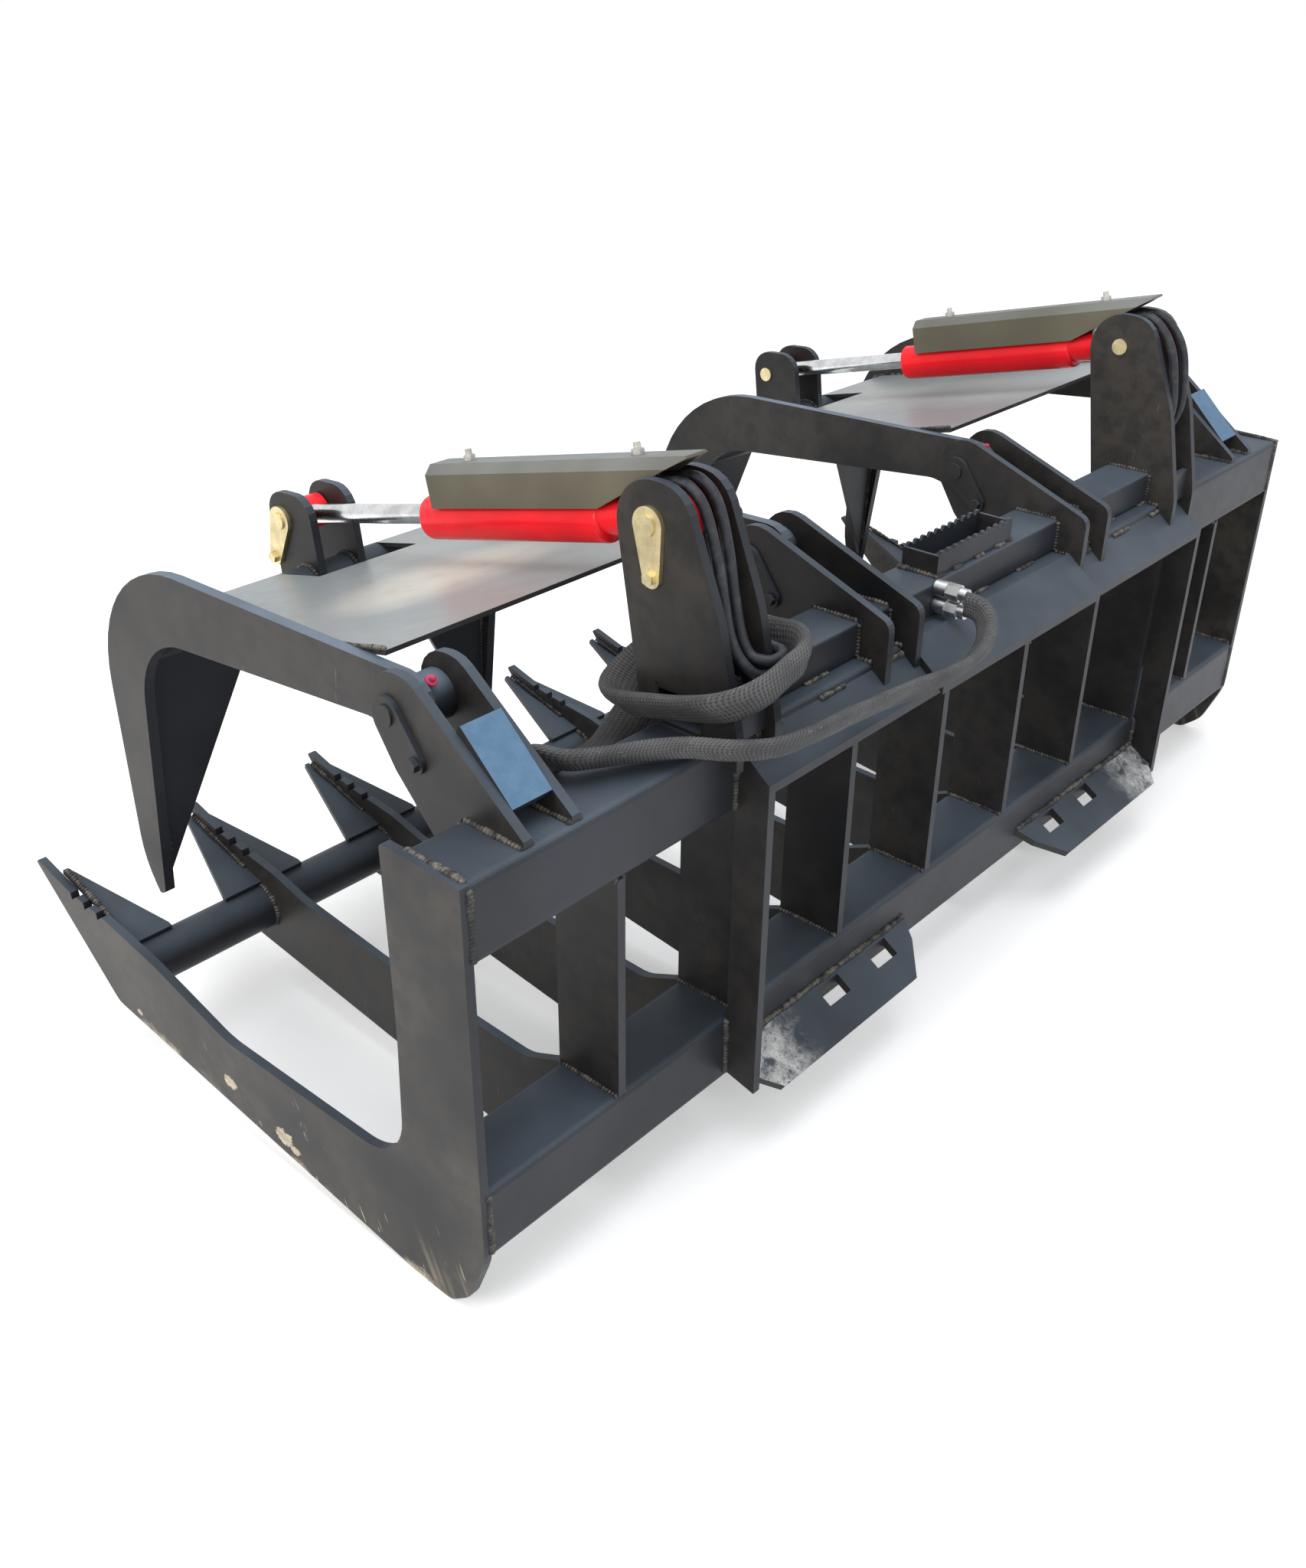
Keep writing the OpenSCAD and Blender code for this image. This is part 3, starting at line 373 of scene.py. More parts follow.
def end_wear(s, x, y, z, nx, ny, nz, middle, fine):
    """Sandy scuffs and thin scratches along the lower edge of an end plate, down to its heel."""
    up = z - (HEEL - 42.0) / 1000 + (y - (MID_Y - 730.0) / 1000) * 0.112
    patchy = s.noise(s.place(), 7.0, 3.0)
    ragged = s.noise(s.place(), 95.0, 4.0, 0.7)
    overlay_share = (up + middle * 0.04).between(0.034, 0.016) * patchy.between(0.46, 0.58) * fine.between(0.34, 0.5)
    for (along, height), (half, rise) in SCUFFS:
        level = ((z - (height + HEEL) / 1000) / (rise / 1000)) ** 2
        far = ((y - (along + MID_Y) / 1000) / (half / 1000)) ** 2 + level
        spot = (far + ragged * 3.0).between(2.3, 2.0) * x.between(1.030, 1.034) * fine.between(0.30, 0.42)
        overlay_share = overlay_share.most(spot)
    across = y * 0.92 + z * 0.38
    along = y * 0.02 - z * 0.05
    turned = s.add("ShaderNodeCombineXYZ", [across, along, 0.0])["Vector"]
    lines = s.noise(turned, 150.0, 2.0, 0.5).between(0.655, 0.69)
    broken = s.noise(s.place(), 26.0, 3.0).between(0.50, 0.58)
    zone = up.between(0.16, 0.02) * y.between((MID_Y - 660) / 1000, (MID_Y - 420) / 1000)
    overlay_share = overlay_share.most(lines * broken * zone * nx.absolute().between(0.8, 0.95) * 0.8)
    heel = s.noise(turned, 34.0, 3.0).between(0.50, 0.66)
    heel = heel * y.between((MID_Y - 170) / 1000, (MID_Y - 90) / 1000)
    overlay_share = overlay_share.most(heel * up.between(0.095, 0.02) * 0.34)
    return overlay_share.least(1.0), ((0.40, 0.34, 0.25), (0.62, 0.55, 0.42)), 0.0


def brace_sheen(s, x, y, z, nx, ny, nz, middle, fine):
    """Painted sky reflection: the brace plates between the outer ears get a bluish colour where they mirror
    the sky.
    """
    near = (x - OUTER_X / 1000).absolute()
    far = (x - stand("far", OUTER_X) / 1000).absolute()
    inside = near.least(far).between(0.0296, 0.0290)
    share = inside * (ny + nz).between(1.15, 1.35) * (0.75 + middle * 0.25)
    return share, ((0.085, 0.165, 0.27), (0.11, 0.20, 0.31)), 0.0

def guard_nuts(s, x, y, z, nx, ny, nz, middle, fine):
    """The studs and nuts above the guard's ridge are zinc plated."""
    along = (y - (ROD_PIN[0] + MID_Y) / 1000) * math.sin(CYL_TILT)
    up = (z - (ROD_PIN[1] + HEEL) / 1000) * math.cos(CYL_TILT) - along
    return up.between(0.0702, 0.0706), ((0.42, 0.41, 0.38), (0.62, 0.60, 0.55)), 0.7


def plated(name, colour, gloss, metal=1.0):
    """Zinc or chrome with a soft mottle and a little grime."""
    s = Shader(name)
    where = s.place()
    large = s.noise(where, 46.0, 3.0)
    fine = s.noise(where, 320.0, 4.0, 0.65)
    tone = s.mix(large.between(0.3, 0.7), tuple(c * 0.72 for c in colour), colour)
    grime = fine.between(0.56, 0.72) * large.between(0.4, 0.6)
    tone = s.mix(grime * 0.45, tone, (0.10, 0.085, 0.065))
    return s.surface(
        Base_Color=tone, Roughness=gloss + fine * 0.18 + grime * 0.2, Metallic=metal,
        Normal=s.bump(fine, 0.06, 0.0006),
    )


def sheet_paint(name, colour):
    """The clamps' sheets: scuffed paint under dust, bluish in patches, pale and tan towards the back."""
    s = Shader(name)
    where = s.place()
    px, py, _ = s.parts(where)
    nz = s.parts(s.facing())[2]
    large = s.noise(where, 3.2, 3.0)
    middle = s.noise(where, 26.0, 5.0, 0.6)
    fine = s.noise(where, 210.0, 4.0, 0.65)
    pale = ((px - 0.630) / 0.20) ** 2 + ((py - (MID_Y - 455.0) / 1000) / 0.11) ** 2
    pale = (pale + large * 1.4).between(1.9, 0.5)
    tone = s.mix(large.between(0.35, 0.65), tuple(c * k for c, k in zip(colour, (0.80, 0.86, 0.92))), colour)
    tone = s.mix(pale, tone, (0.50, 0.475, 0.405))
    tone = s.mix(middle.between(0.5, 0.75) * 0.25, tone, (0.22, 0.20, 0.165))
    tone = s.mix(fine.between(0.62, 0.72) * 0.30, tone, (0.05, 0.05, 0.05))
    edge = nz.absolute().between(0.6, 0.2)
    tone = s.mix(edge, tone, (0.03, 0.03, 0.03))
    return s.surface(
        Base_Color=tone, Roughness=0.26 + middle * 0.18, Metallic=0.0, Normal=s.bump(middle, 0.08, 0.002),
        Specular_IOR_Level=0.35,
    )


def rubbery(name, colour, ribs=900.0):
    """Hose rubber: dull, with fine rings along its length and dust."""
    s = Shader(name)
    v = s.parts(s.add("ShaderNodeTexCoord")["UV"])[1]
    where = s.place()
    dust = s.noise(where, 60.0, 4.0).between(0.45, 0.70)
    tone = s.mix(dust * 0.30, colour, (0.10, 0.10, 0.095))
    rings = (v * ribs).math("SINE")
    return s.surface(
        Base_Color=tone, Roughness=0.50, Metallic=0.0, Normal=s.bump(rings, 0.15, 0.0004),
        Specular_IOR_Level=0.35,
    )


def woven(name, colour):
    """Ballistic sleeve cloth: slanted ribs across the run, paler and darker in soft patches, and darker in
    the weave's grooves as painted shade.
    """
    s = Shader(name)
    u, v, _ = s.parts(s.add("ShaderNodeTexCoord")["UV"])
    where = s.place()
    slant = (v * 1300.0 + (u * 12.5664).math("SINE") * 6.0).math("SINE")
    cross = (u * 150.0 + v * 60.0).math("SINE")
    weave = slant * 0.6 + cross * 0.4
    soft = s.noise(where, 12.0, 4.0)
    grit = s.noise(where, 190.0, 4.0, 0.7)
    pale = tuple(min(1, c * 1.25) for c in colour)
    tone = s.mix(soft.between(0.3, 0.7), tuple(c * 0.62 for c in colour), pale)
    # Painted shade: the cloth darkens where the weave dips, in its grooves.
    tone = s.mix(weave.between(0.2, -0.6) * 0.75, tone, tuple(c * 0.35 for c in colour))
    tone = s.mix(grit.between(0.60, 0.72) * 0.5, tone, (0.30, 0.28, 0.24))
    return s.surface(
        Base_Color=tone, Roughness=0.80, Metallic=0.0, Normal=s.bump(weave + grit * 0.6, 0.5, 0.0009),
        Specular_IOR_Level=0.2,
    )


def bead_paint(name, colour):
    """Painted weld with dust caught in its ripples."""
    s = Shader(name)
    where = s.place()
    nz = s.parts(s.facing())[2]
    middle = s.noise(where, 90.0, 4.0)
    broad = s.noise(where, 9.0, 2.0)
    tone = s.mix(middle.between(0.35, 0.62) * (0.25 + nz.between(0.0, 0.8) * 0.75) * broad.between(0.25, 0.6),
                 colour, (0.16, 0.145, 0.12))
    return s.surface(
        Base_Color=tone, Roughness=0.46 + middle * 0.2, Metallic=0.0, Normal=s.bump(middle, 0.2, 0.0006),
        Specular_IOR_Level=0.28,
    )


def black():
    return finish("black_paint", painted, tuple(settings().finish.paint_colour))


# Routes

def catmull(a, b, c, d, t):
    square, cube = 2 * a - 5 * b + 4 * c - d, 3 * b - 3 * c + d - a
    return 0.5 * (2 * b + (c - a) * t + square * t * t + cube * t ** 3)


def smooth(points, steps):
    n = len(points)
    line = []
    for i in range(n - 1):
        for k in range(steps):
            before, after = points[max(i - 1, 0)], points[min(i + 2, n - 1)]
            line.append(catmull(before, points[i], points[i + 1], after, k / steps))
    return line + [points[-1]]


def tube(name, line, width, height, sides, across=Vector((0, 0.02, 1)), wobble=None):
    """A closed tube along a line, its width carried along without twist, with UVs round and along."""
    verts, spans = [], [0.0]
    n = len(line)
    side = across
    for i, p in enumerate(line):
        ahead = (line[min(i + 1, n - 1)] - line[max(i - 1, 0)]).normalized()
        side = (side - side.dot(ahead) * ahead).normalized()
        other = ahead.cross(side)
        if i:
            spans.append(spans[-1] + (p - line[i - 1]).length)
        for k in range(sides):
            a = 2 * math.pi * k / sides
            w, h = math.cos(a) * width / 2, math.sin(a) * height / 2
            if wobble:
                w, h = wobble(spans[-1], a, w, h)
            verts.append(p + side * w + other * h)
    faces, uvs = [], []
    for i in range(n - 1):
        for k in range(sides):
            m = (k + 1) % sides
            faces.append((i * sides + k, i * sides + m, (i + 1) * sides + m, (i + 1) * sides + k))
            u0, u1 = k / sides, (k + 1) / sides
            uvs += [(u0, spans[i]), (u1, spans[i]), (u1, spans[i + 1]), (u0, spans[i + 1])]
    faces.append(tuple(range(sides - 1, -1, -1)))
    uvs += [(0.5, 0.0)] * sides
    faces.append(tuple((n - 1) * sides + k for k in range(sides)))
    uvs += [(0.5, spans[-1])] * sides
    obj = mesh_object(name, verts, faces)
    layer = obj.data.uv_layers.new(name="run")
    for loop, uv in zip(layer.data, uvs):
        loop.uv = uv
    deselect()
    obj.select_set(True)
    bpy.context.view_layer.objects.active = obj
    bpy.ops.object.mode_set(mode="EDIT")
    bpy.ops.mesh.select_all(action="SELECT")
    bpy.ops.mesh.normals_make_consistent(inside=False)
    bpy.ops.object.mode_set(mode="OBJECT")
    smooth_faces(obj, 50)
    return obj


# Route points are (x, y, height above the upper tube), in millimetres.
SLEEVE_ROUTE = [
    (535, -16, 87), (535, -28, 87), (535, -40, 87), (534, -84, 85), (533, -128, 70),
    (543, -160, 50), (580, -174, 31), (616, -168, 20), (643, -148, 17), (652, -112, 26),
    (655, -66, 39), (655, -22, 51), (648, 14, 62), (626, 34, 71), (598, 42, 79), (568, 42, 87),
    (534, 38, 92), (512, 16, 93), (508, -16, 89), (508, -60, 84), (508, -100, 81), (512, -144, 54),
    (520, -174, 18), (534, -190, -12), (560, -192, -35), (605, -180, -49), (660, -160, -51), (715, -146, -43),
    (765, -136, -25), (800, -126, 2), (817, -101, 26), (808, -72, 28), (775, -52, 26),
    (730, -30, 24), (690, 0, 23), (660, 40, 22), (625, 66, 20), (580, 76, 17), (520, 78, 14),
    (450, 76, 7), (370, 76, -1), (290, 80, -9), (225, 82, -11), (180, 79, -3), (151, 69, 10),
    (138, 58, 21), (133, 47, 28), (132, 35, 31), (132, 24, 31),
]
# X of a drop counts from the tower's centre plane; the spread is each hose's offset from it.
NEAR_DROP = [
    (0, -86, 289), (0, -60, 270), (0, -42, 223), (0, -30, 171), (0, -22, 137), (0, -12, 112),
    (-2, 0, 96), (-9, 12, 88), (-22, 20, 86), (-39, 22, 87), (-51, 13, 87), (-53, 0, 87), (-53, -8, 87),
    (-53, -15.6, 87),
]
NEAR_SPREAD = [
    (13, 0, 0), (12, 0, 0), (11, 0, 0), (10, 0, 0), (10, 0, 0), (9, 0, 0), (9, 2, -2), (6, 2, -7),
    *[(0, 0, -8.4)] * 6,
]
FAR_DROP = [
    (0, -86, 292), (0, -58, 278), (0, -34, 246), (0, -22, 201), (0, -18, 151), (0, -30, 114),
    (0, -46, 94), (0, -56, 80), (0, -56, 66), (0, -56, 58), (0, -56, 51),
]
FAR_SPREAD = [(w, 0, 0) for w in (15, 17, 19, 19, 16, 13, 11, 10, 10, 10, 10)]


# Where along its run the sleeve lies flatter and wider, as (extra width share, (start, end)) in metres
SLEEVE_SPREAD = [(0.24, (0.03, 1.08)), (0.30, (1.46, 1.86)), (-0.18, (1.88, 2.40))]


def bell(value, start, end, ease=0.07):
    """1 between start and end, eased to 0 outside."""
    rise = min(1, max(0, (value - start) / ease))
    fall = min(1, max(0, (end - value) / ease))
    return rise * rise * (3 - 2 * rise) * fall * fall * (3 - 2 * fall)


def on_axis(x, along, up):
    """A place by a cylinder's own axis, from its rod pin."""
    return (
        x,
        ROD_PIN[0] + along * math.cos(CYL_TILT) - up * math.sin(CYL_TILT),
        ROD_PIN[1] + along * math.sin(CYL_TILT) + up * math.cos(CYL_TILT),
    )


# Values that a user would change

class GrappleView(bpy.types.PropertyGroup):
    place: FloatVectorProperty(name="Camera", description="Where the camera stands", subtype="TRANSLATION",
                               unit="LENGTH", default=(1.8179, 1.3978, 1.4435))
    aim: FloatVectorProperty(name="Aim", description="Direction in which the camera looks",
                             subtype="DIRECTION",
                             default=(-0.6510, -0.5759, -0.4945))
    roll: FloatProperty(name="Roll", description="Turn of the camera about its own axis", subtype="ANGLE",
                        default=math.radians(0.465))
    lens: FloatProperty(name="Lens", description="Focal length on a 36 mm frame", default=33.964, min=10)
    floor_colour: FloatVectorProperty(name="Floor", description="Colour of the floor", subtype="COLOR",
                                      default=(0.93, 0.93, 0.93))
    floor_glow: FloatProperty(name="Background",
                              description="Brightness added to the floor as the camera sees it",
                              default=0.30, min=0)


class GrappleFinish(bpy.types.PropertyGroup):
    paint_colour: FloatVectorProperty(name="Paint", description="Black paint of the welded parts",
                                      subtype="COLOR",
                                      default=(0.0135, 0.0140, 0.0160))
    sheet_colour: FloatVectorProperty(name="Sheets", description="Dusty paint of the clamps' sheets",
                                      subtype="COLOR", default=(0.245, 0.25, 0.245))
    red_colour: FloatVectorProperty(name="Cylinders", description="Red paint of the cylinders",
                                    subtype="COLOR",
                                    default=(0.84, 0.010, 0.018))
    yellow_colour: FloatVectorProperty(name="Pins", description="Yellow zinc of pins and keepers",
                                       subtype="COLOR",
                                       default=(0.80, 0.68, 0.40))
    cap_colour: FloatVectorProperty(name="Caps", description="Plastic caps of the grease fittings",
                                    subtype="COLOR",
                                    default=(0.50, 0.030, 0.090))
    zinc_colour: FloatVectorProperty(name="Zinc", description="Plated fittings and couplers", subtype="COLOR",
                                     default=(0.60, 0.61, 0.62))
    rubber_colour: FloatVectorProperty(name="Rubber", description="Hose rubber", subtype="COLOR",
                                       default=(0.016, 0.018, 0.024))
    fabric_colour: FloatVectorProperty(name="Sleeve", description="Woven sleeve round the hoses",
                                       subtype="COLOR",
                                       default=(0.105, 0.104, 0.106))
    # Dust on the upright faces together with painted warm light on the side faces; the dust specks use this
    # colour too.
    dust_and_warm_light_colour: FloatVectorProperty(name="Dust", description="Dust on the upright faces", subtype="COLOR",
                                     default=(0.135, 0.112, 0.086))
    # Painted sky reflection on the faces that look back, not dust.
    sky_reflection_colour: FloatVectorProperty(name="Rear dust",
                                    description="Thin bluish dust on the faces that look back",
                                    subtype="COLOR", default=(0.16, 0.20, 0.28))
    guard_colour: FloatVectorProperty(name="Guards", description="Dull olive paint of the cylinder guards",
                                      subtype="COLOR", default=(0.130, 0.118, 0.082))
    # Dust on the faces that look up together with a painted bluish sky reflection.
    settled_dust_and_sky_colour: FloatVectorProperty(name="Settled dust", description="Dust on the faces that look up",
                                        subtype="COLOR", default=(0.22, 0.28, 0.36))


class GrappleHoses(bpy.types.PropertyGroup):
    sleeve_length: FloatProperty(name="Sleeve", description="Length of the woven sleeve", unit="LENGTH",
                                 default=2.000)
    sleeve_width: FloatProperty(name="Sleeve width", description="Width of the sleeve where it lies flat",
                                unit="LENGTH", default=0.046)
    sleeve_height: FloatProperty(name="Sleeve height", description="Thickness of the flat sleeve",
                                 unit="LENGTH",
                                 default=0.021)
    hose: FloatProperty(name="Hose", description="Outer diameter of a hose", unit="LENGTH", default=0.014)


class GrappleCylinders(bpy.types.PropertyGroup):
    barrel: FloatProperty(name="Barrel", description="Outer diameter of a cylinder's barrel", unit="LENGTH",
                          default=0.058)
    drop: FloatProperty(name="Drop", description="How far the tube hangs below the solid's axis",
                        unit="LENGTH",
                        default=0.005)
    edge: FloatProperty(name="Edge", description="Rounding of the tube's ends", unit="LENGTH", default=0.006)


class GrappleWelds(bpy.types.PropertyGroup):
    leg: FloatProperty(name="Leg", description="Half width of a weld bead", unit="LENGTH", default=0.0055)
    pitch: FloatProperty(name="Ripple", description="Distance between two ripples of a bead", unit="LENGTH",
                         default=0.0052)


class GrappleSettings(bpy.types.PropertyGroup):
    view: PointerProperty(type=GrappleView)
    finish: PointerProperty(type=GrappleFinish)
    hoses: PointerProperty(type=GrappleHoses)
    cylinders: PointerProperty(type=GrappleCylinders)
    welds: PointerProperty(type=GrappleWelds)


# Steps

class Step:
    bl_options = {"REGISTER", "UNDO"}

    def execute(self, context):
        self.build(context)
        return {"FINISHED"}


class GRAPPLE_OT_camera(Step, bpy.types.Operator):
    """Set the camera as in the reference view"""
    bl_idname = "grapple.camera"
    bl_label = "Camera"

    def build(self, context):
        view = settings().view
        data = bpy.data.cameras.new("camera")
        data.lens = view.lens
        data.shift_x, data.shift_y = 0.0009, -0.0012
        data.clip_start, data.clip_end = 0.05, 60
        camera = bpy.data.objects.new("camera", data)
        context.scene.collection.objects.link(camera)
        look = Vector(view.aim).to_track_quat("-Z", "Y").to_matrix()
        camera.rotation_euler = (look @ Matrix.Rotation(view.roll, 3, "Z")).to_euler()
        camera.location = view.place
        context.scene.camera = camera


class GRAPPLE_OT_sleeve(Step, bpy.types.Operator):
    """Wind the woven sleeve round the near tower and along the lip"""
    bl_idname = "grapple.sleeve"
    bl_label = "Woven sleeve"

    def build(self, context):
        hoses = settings().hoses
        line = smooth([at(x, y, FRAME_H + h) for x, y, h in SLEEVE_ROUTE], 12)

        def soft(along, a, w, h):
            fold = 1 + 0.05 * math.sin(along * 31) + 0.03 * math.sin(along * 74 + 1.3)
            crease = 1 - 0.22 * math.exp(-((math.cos(a)) / 0.35) ** 2)
            spread = 1 + sum(share * bell(along, *span) for share, span in SLEEVE_SPREAD)
            return w * fold * spread, h * crease / fold

        sleeve = tube("woven_sleeve", line, hoses.sleeve_width, hoses.sleeve_height, 20, wobble=soft)
        cloth = finish("sleeve_cloth", woven, tuple(settings().finish.fabric_colour))
        settle(sleeve, "woven_sleeve", "frame", cloth)
        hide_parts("sleeve")


class GRAPPLE_OT_hoses(Step, bpy.types.Operator):
    """Lead two hoses from each cylinder down between the plates of its tower"""
    bl_idname = "grapple.hoses"
    bl_label = "Cylinder hoses"

    def build(self, context):
        hose_d = settings().hoses.hose * 1000
        rubber = finish("hose_rubber", rubbery, tuple(settings().finish.rubber_colour))
        fit_d = hose_d * 1.35
        port_x = (9.0 + fit_d) / 2 + 0.6
        port_y = CYL_L - (25.4 + 29.2 + 9.6) * 0.80
        axis = 25.0 + fit_d * 1.35 - fit_d / 2
        for side in SIDES:
            drop, spread = (NEAR_DROP, NEAR_SPREAD) if side == "near" else (FAR_DROP, FAR_SPREAD)
            made = []
            for s in (-1, 1):
                top = port_y + fit_d * 1.6 + 0.3
                points = [on_axis(s * port_x, top + k * hose_d, axis) for k in range(3)]
                points += [
                    (x + s * u, y + s * v, FRAME_H + h + s * w) for (x, y, h), (u, v, w) in zip(drop, spread)
                ]
                line = smooth([at(stand(side, CLAMP_X + p[0]), p[1], p[2]) for p in points], 6)
                made.append(tube(f"{side}_hose", line, hose_d / 1000, hose_d / 1000, 14))
            deselect()
            for obj in made:
                obj.select_set(True)
            context.view_layer.objects.active = made[0]
            bpy.ops.object.join()
            pair = settle(made[0], f"{side}_hose_pair", "frame", rubber)
            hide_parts(f"{side}_hoses")


class GRAPPLE_OT_barrel_tubes(Step, bpy.types.Operator):
    """Fit the full barrel tube over each cylinder's slimmer solid"""
    bl_idname = "grapple.barrel_tubes"
    bl_label = "Barrel tubes"

    def build(self, context):
        c = settings().cylinders
        start, end = (ROD_SHOW - 0.5) / 1000, BARREL_END / 1000
        deselect()
        bpy.ops.mesh.primitive_cylinder_add(vertices=72, radius=c.barrel / 2, depth=end - start)
        unit = context.object
        bpy.ops.object.modifier_add(type="BEVEL")
        bevel = unit.modifiers[0]
        bevel.width, bevel.segments, bevel.limit_method = c.edge, 4, "ANGLE"
        bpy.ops.object.modifier_apply(modifier=bevel.name)
        length = end - start
        # Radius, depth and middle: the rod's hole in the front wall, then the room behind that wall
        rod_hole = (ROD_D / 2000 + ROD_PLAY, 0.03, -length / 2)
        piston_room = (PISTON_ROOM, length - 0.002, 0.011)
        for radius, depth, centre in (rod_hole, piston_room):
            bpy.ops.mesh.primitive_cylinder_add(
                vertices=48, radius=radius, depth=depth, location=(0, -c.drop, centre),
            )
            bore = context.object
            context.view_layer.objects.active = unit
            bpy.ops.object.modifier_add(type="BOOLEAN")
            cut = unit.modifiers[0]
            cut.object, cut.operation = bore, "DIFFERENCE"
            bpy.ops.object.modifier_apply(modifier=cut.name)
            bpy.data.objects.remove(bore)
        turn = Matrix.Rotation(CYL_TILT - math.pi / 2, 4, "X")
        red = finish("red_paint", painted, tuple(settings().finish.red_colour), None, *RED_FINISH)
        for side in SIDES:
            centre = on_axis(stand(side, CLAMP_X), 500 * (start + end), -1000 * c.drop)
            tube_ = gathered(unit, [Matrix.Translation(at(*centre)) @ turn], "barrel")
            smooth_faces(tube_, 35)
            settle(tube_, f"{side}_barrel_tube", f"{side}_cylinder", red)
        bpy.data.objects.remove(unit)


class GRAPPLE_OT_small_fittings(Step, bpy.types.Operator):
    """Put a grease fitting with its plastic cap on every pivot boss"""
    bl_idname = "grapple.small_fittings"
    bl_label = "Grease fittings"

    def build(self, context):
        deselect()
        bpy.ops.mesh.primitive_cylinder_add(vertices=12, radius=0.0042, depth=0.016, location=(0, 0, 0.006))
        stem = context.object
        bpy.ops.mesh.primitive_torus_add(
            major_radius=0.0052, minor_radius=0.0026, major_segments=14, minor_segments=8,
            location=(0, 0, 0.0095),
        )
        ring = context.object
        bpy.ops.mesh.primitive_uv_sphere_add(
            segments=12, ring_count=7, radius=0.0042, location=(0, 0, 0.0135),
        )
        knob = context.object
        for unit in (stem, ring, knob):
            unit.data.transform(unit.matrix_world)
            unit.matrix_world = Matrix.Identity(4)
        turn = Matrix.Rotation(math.radians(-36), 4, "X")
        # The cap's numbers are shares of side dust with painted warm light and of top dust with painted sky
        # reflection, then roughness and relief.
        cap = finish("cap_plastic", painted, tuple(settings().finish.cap_colour), None, 0.3, 0.3, 0.4, 0.02)
        for side in SIDES:
            places = []
            for x in (OUTER_X, INNER_X):
                up, back = 30.0 * math.cos(math.radians(36)), 30.0 * math.sin(math.radians(36))
                places.append(Matrix.Translation(at(clamp(side, x), PIVOT[0] + back, PIVOT[1] + up)) @ turn)
            nipples = gathered(stem, places, "stems")
            smooth_faces(nipples, 40)
            settle(nipples, f"{side}_grease_fittings", f"{side}_clamp",
                   finish("zinc_steel", plated, tuple(settings().finish.zinc_colour), 0.28))
            made = [gathered(ring, places, "rings"), gathered(knob, places, "knobs")]
            deselect()
            for obj in made:
                obj.select_set(True)
            context.view_layer.objects.active = made[0]
            bpy.ops.object.join()
            smooth_faces(made[0], 60)
            settle(made[0], f"{side}_grease_caps", f"{side}_clamp", cap)
        for unit in (stem, ring, knob):
            bpy.data.objects.remove(unit)


def ripple_unit():
    """One ripple of a weld bead: a flattened, slightly tilted lens."""
    deselect()
    bpy.ops.mesh.primitive_uv_sphere_add(segments=8, ring_count=5, radius=1, location=(0, 0, 0))
    unit = bpy.context.object
    bpy.ops.object.mode_set(mode="EDIT")
    bpy.ops.mesh.select_all(action="SELECT")
    bpy.ops.transform.resize(value=(1, 1, 0.72))
    bpy.ops.object.mode_set(mode="OBJECT")
    return unit


class Beads:
    """Gathers the places of weld ripples along seams, in millimetres."""

    def __init__(self):
        self.places = []
        self.count = 0

    def ripple(self, p, ahead, size=1.0):
        leg = settings().welds.leg
        self.count += 1
        jitter = 1 + 0.13 * math.sin(self.count * 12.9898) + 0.05 * math.sin(self.count * 4.1)
        turn = ahead.to_track_quat("Z", "Y").to_matrix().to_4x4()
        tilt = Matrix.Rotation(0.25 * math.sin(self.count * 2.7), 4, "X")
        self.places.append(Matrix.Translation(at(*p)) @ turn @ tilt @ Matrix.Scale(leg * jitter * size, 4))

    def seam(self, a, b, size=1.0):
        a, b = Vector(a), Vector(b)
        pitch = settings().welds.pitch * 1000
        n = max(2, round((b - a).length / pitch))
        for i in range(n + 1):
            self.ripple(a.lerp(b, i / n), b - a, size)

    def path(self, points, size=1.0):
        for a, b in zip(points, points[1:]):
            self.seam(a, b, size)

    def ring(self, x, y, z, r, size=1.0, start=0, end=360):
        pitch = settings().welds.pitch * 1000
        n = round(2 * math.pi * r * (end - start) / 360 / pitch)
        for i in range(n):
            a = math.radians(start + (end - start) * i / n)
            along = Vector((0, -math.sin(a), math.cos(a)))
            self.ripple((x, y + r * math.cos(a), z + r * math.sin(a)), along, size)

    def build(self, name, body, finish_, slot="black_paint"):
        unit = ripple_unit()
        obj = gathered(unit, self.places, name)
        bpy.data.objects.remove(unit)
        smooth_faces(obj, 60)
        return settle(obj, name, body, finish_)


def bead_finish():
    return finish("weld_paint", bead_paint, tuple(c * 1.3 for c in settings().finish.paint_colour))


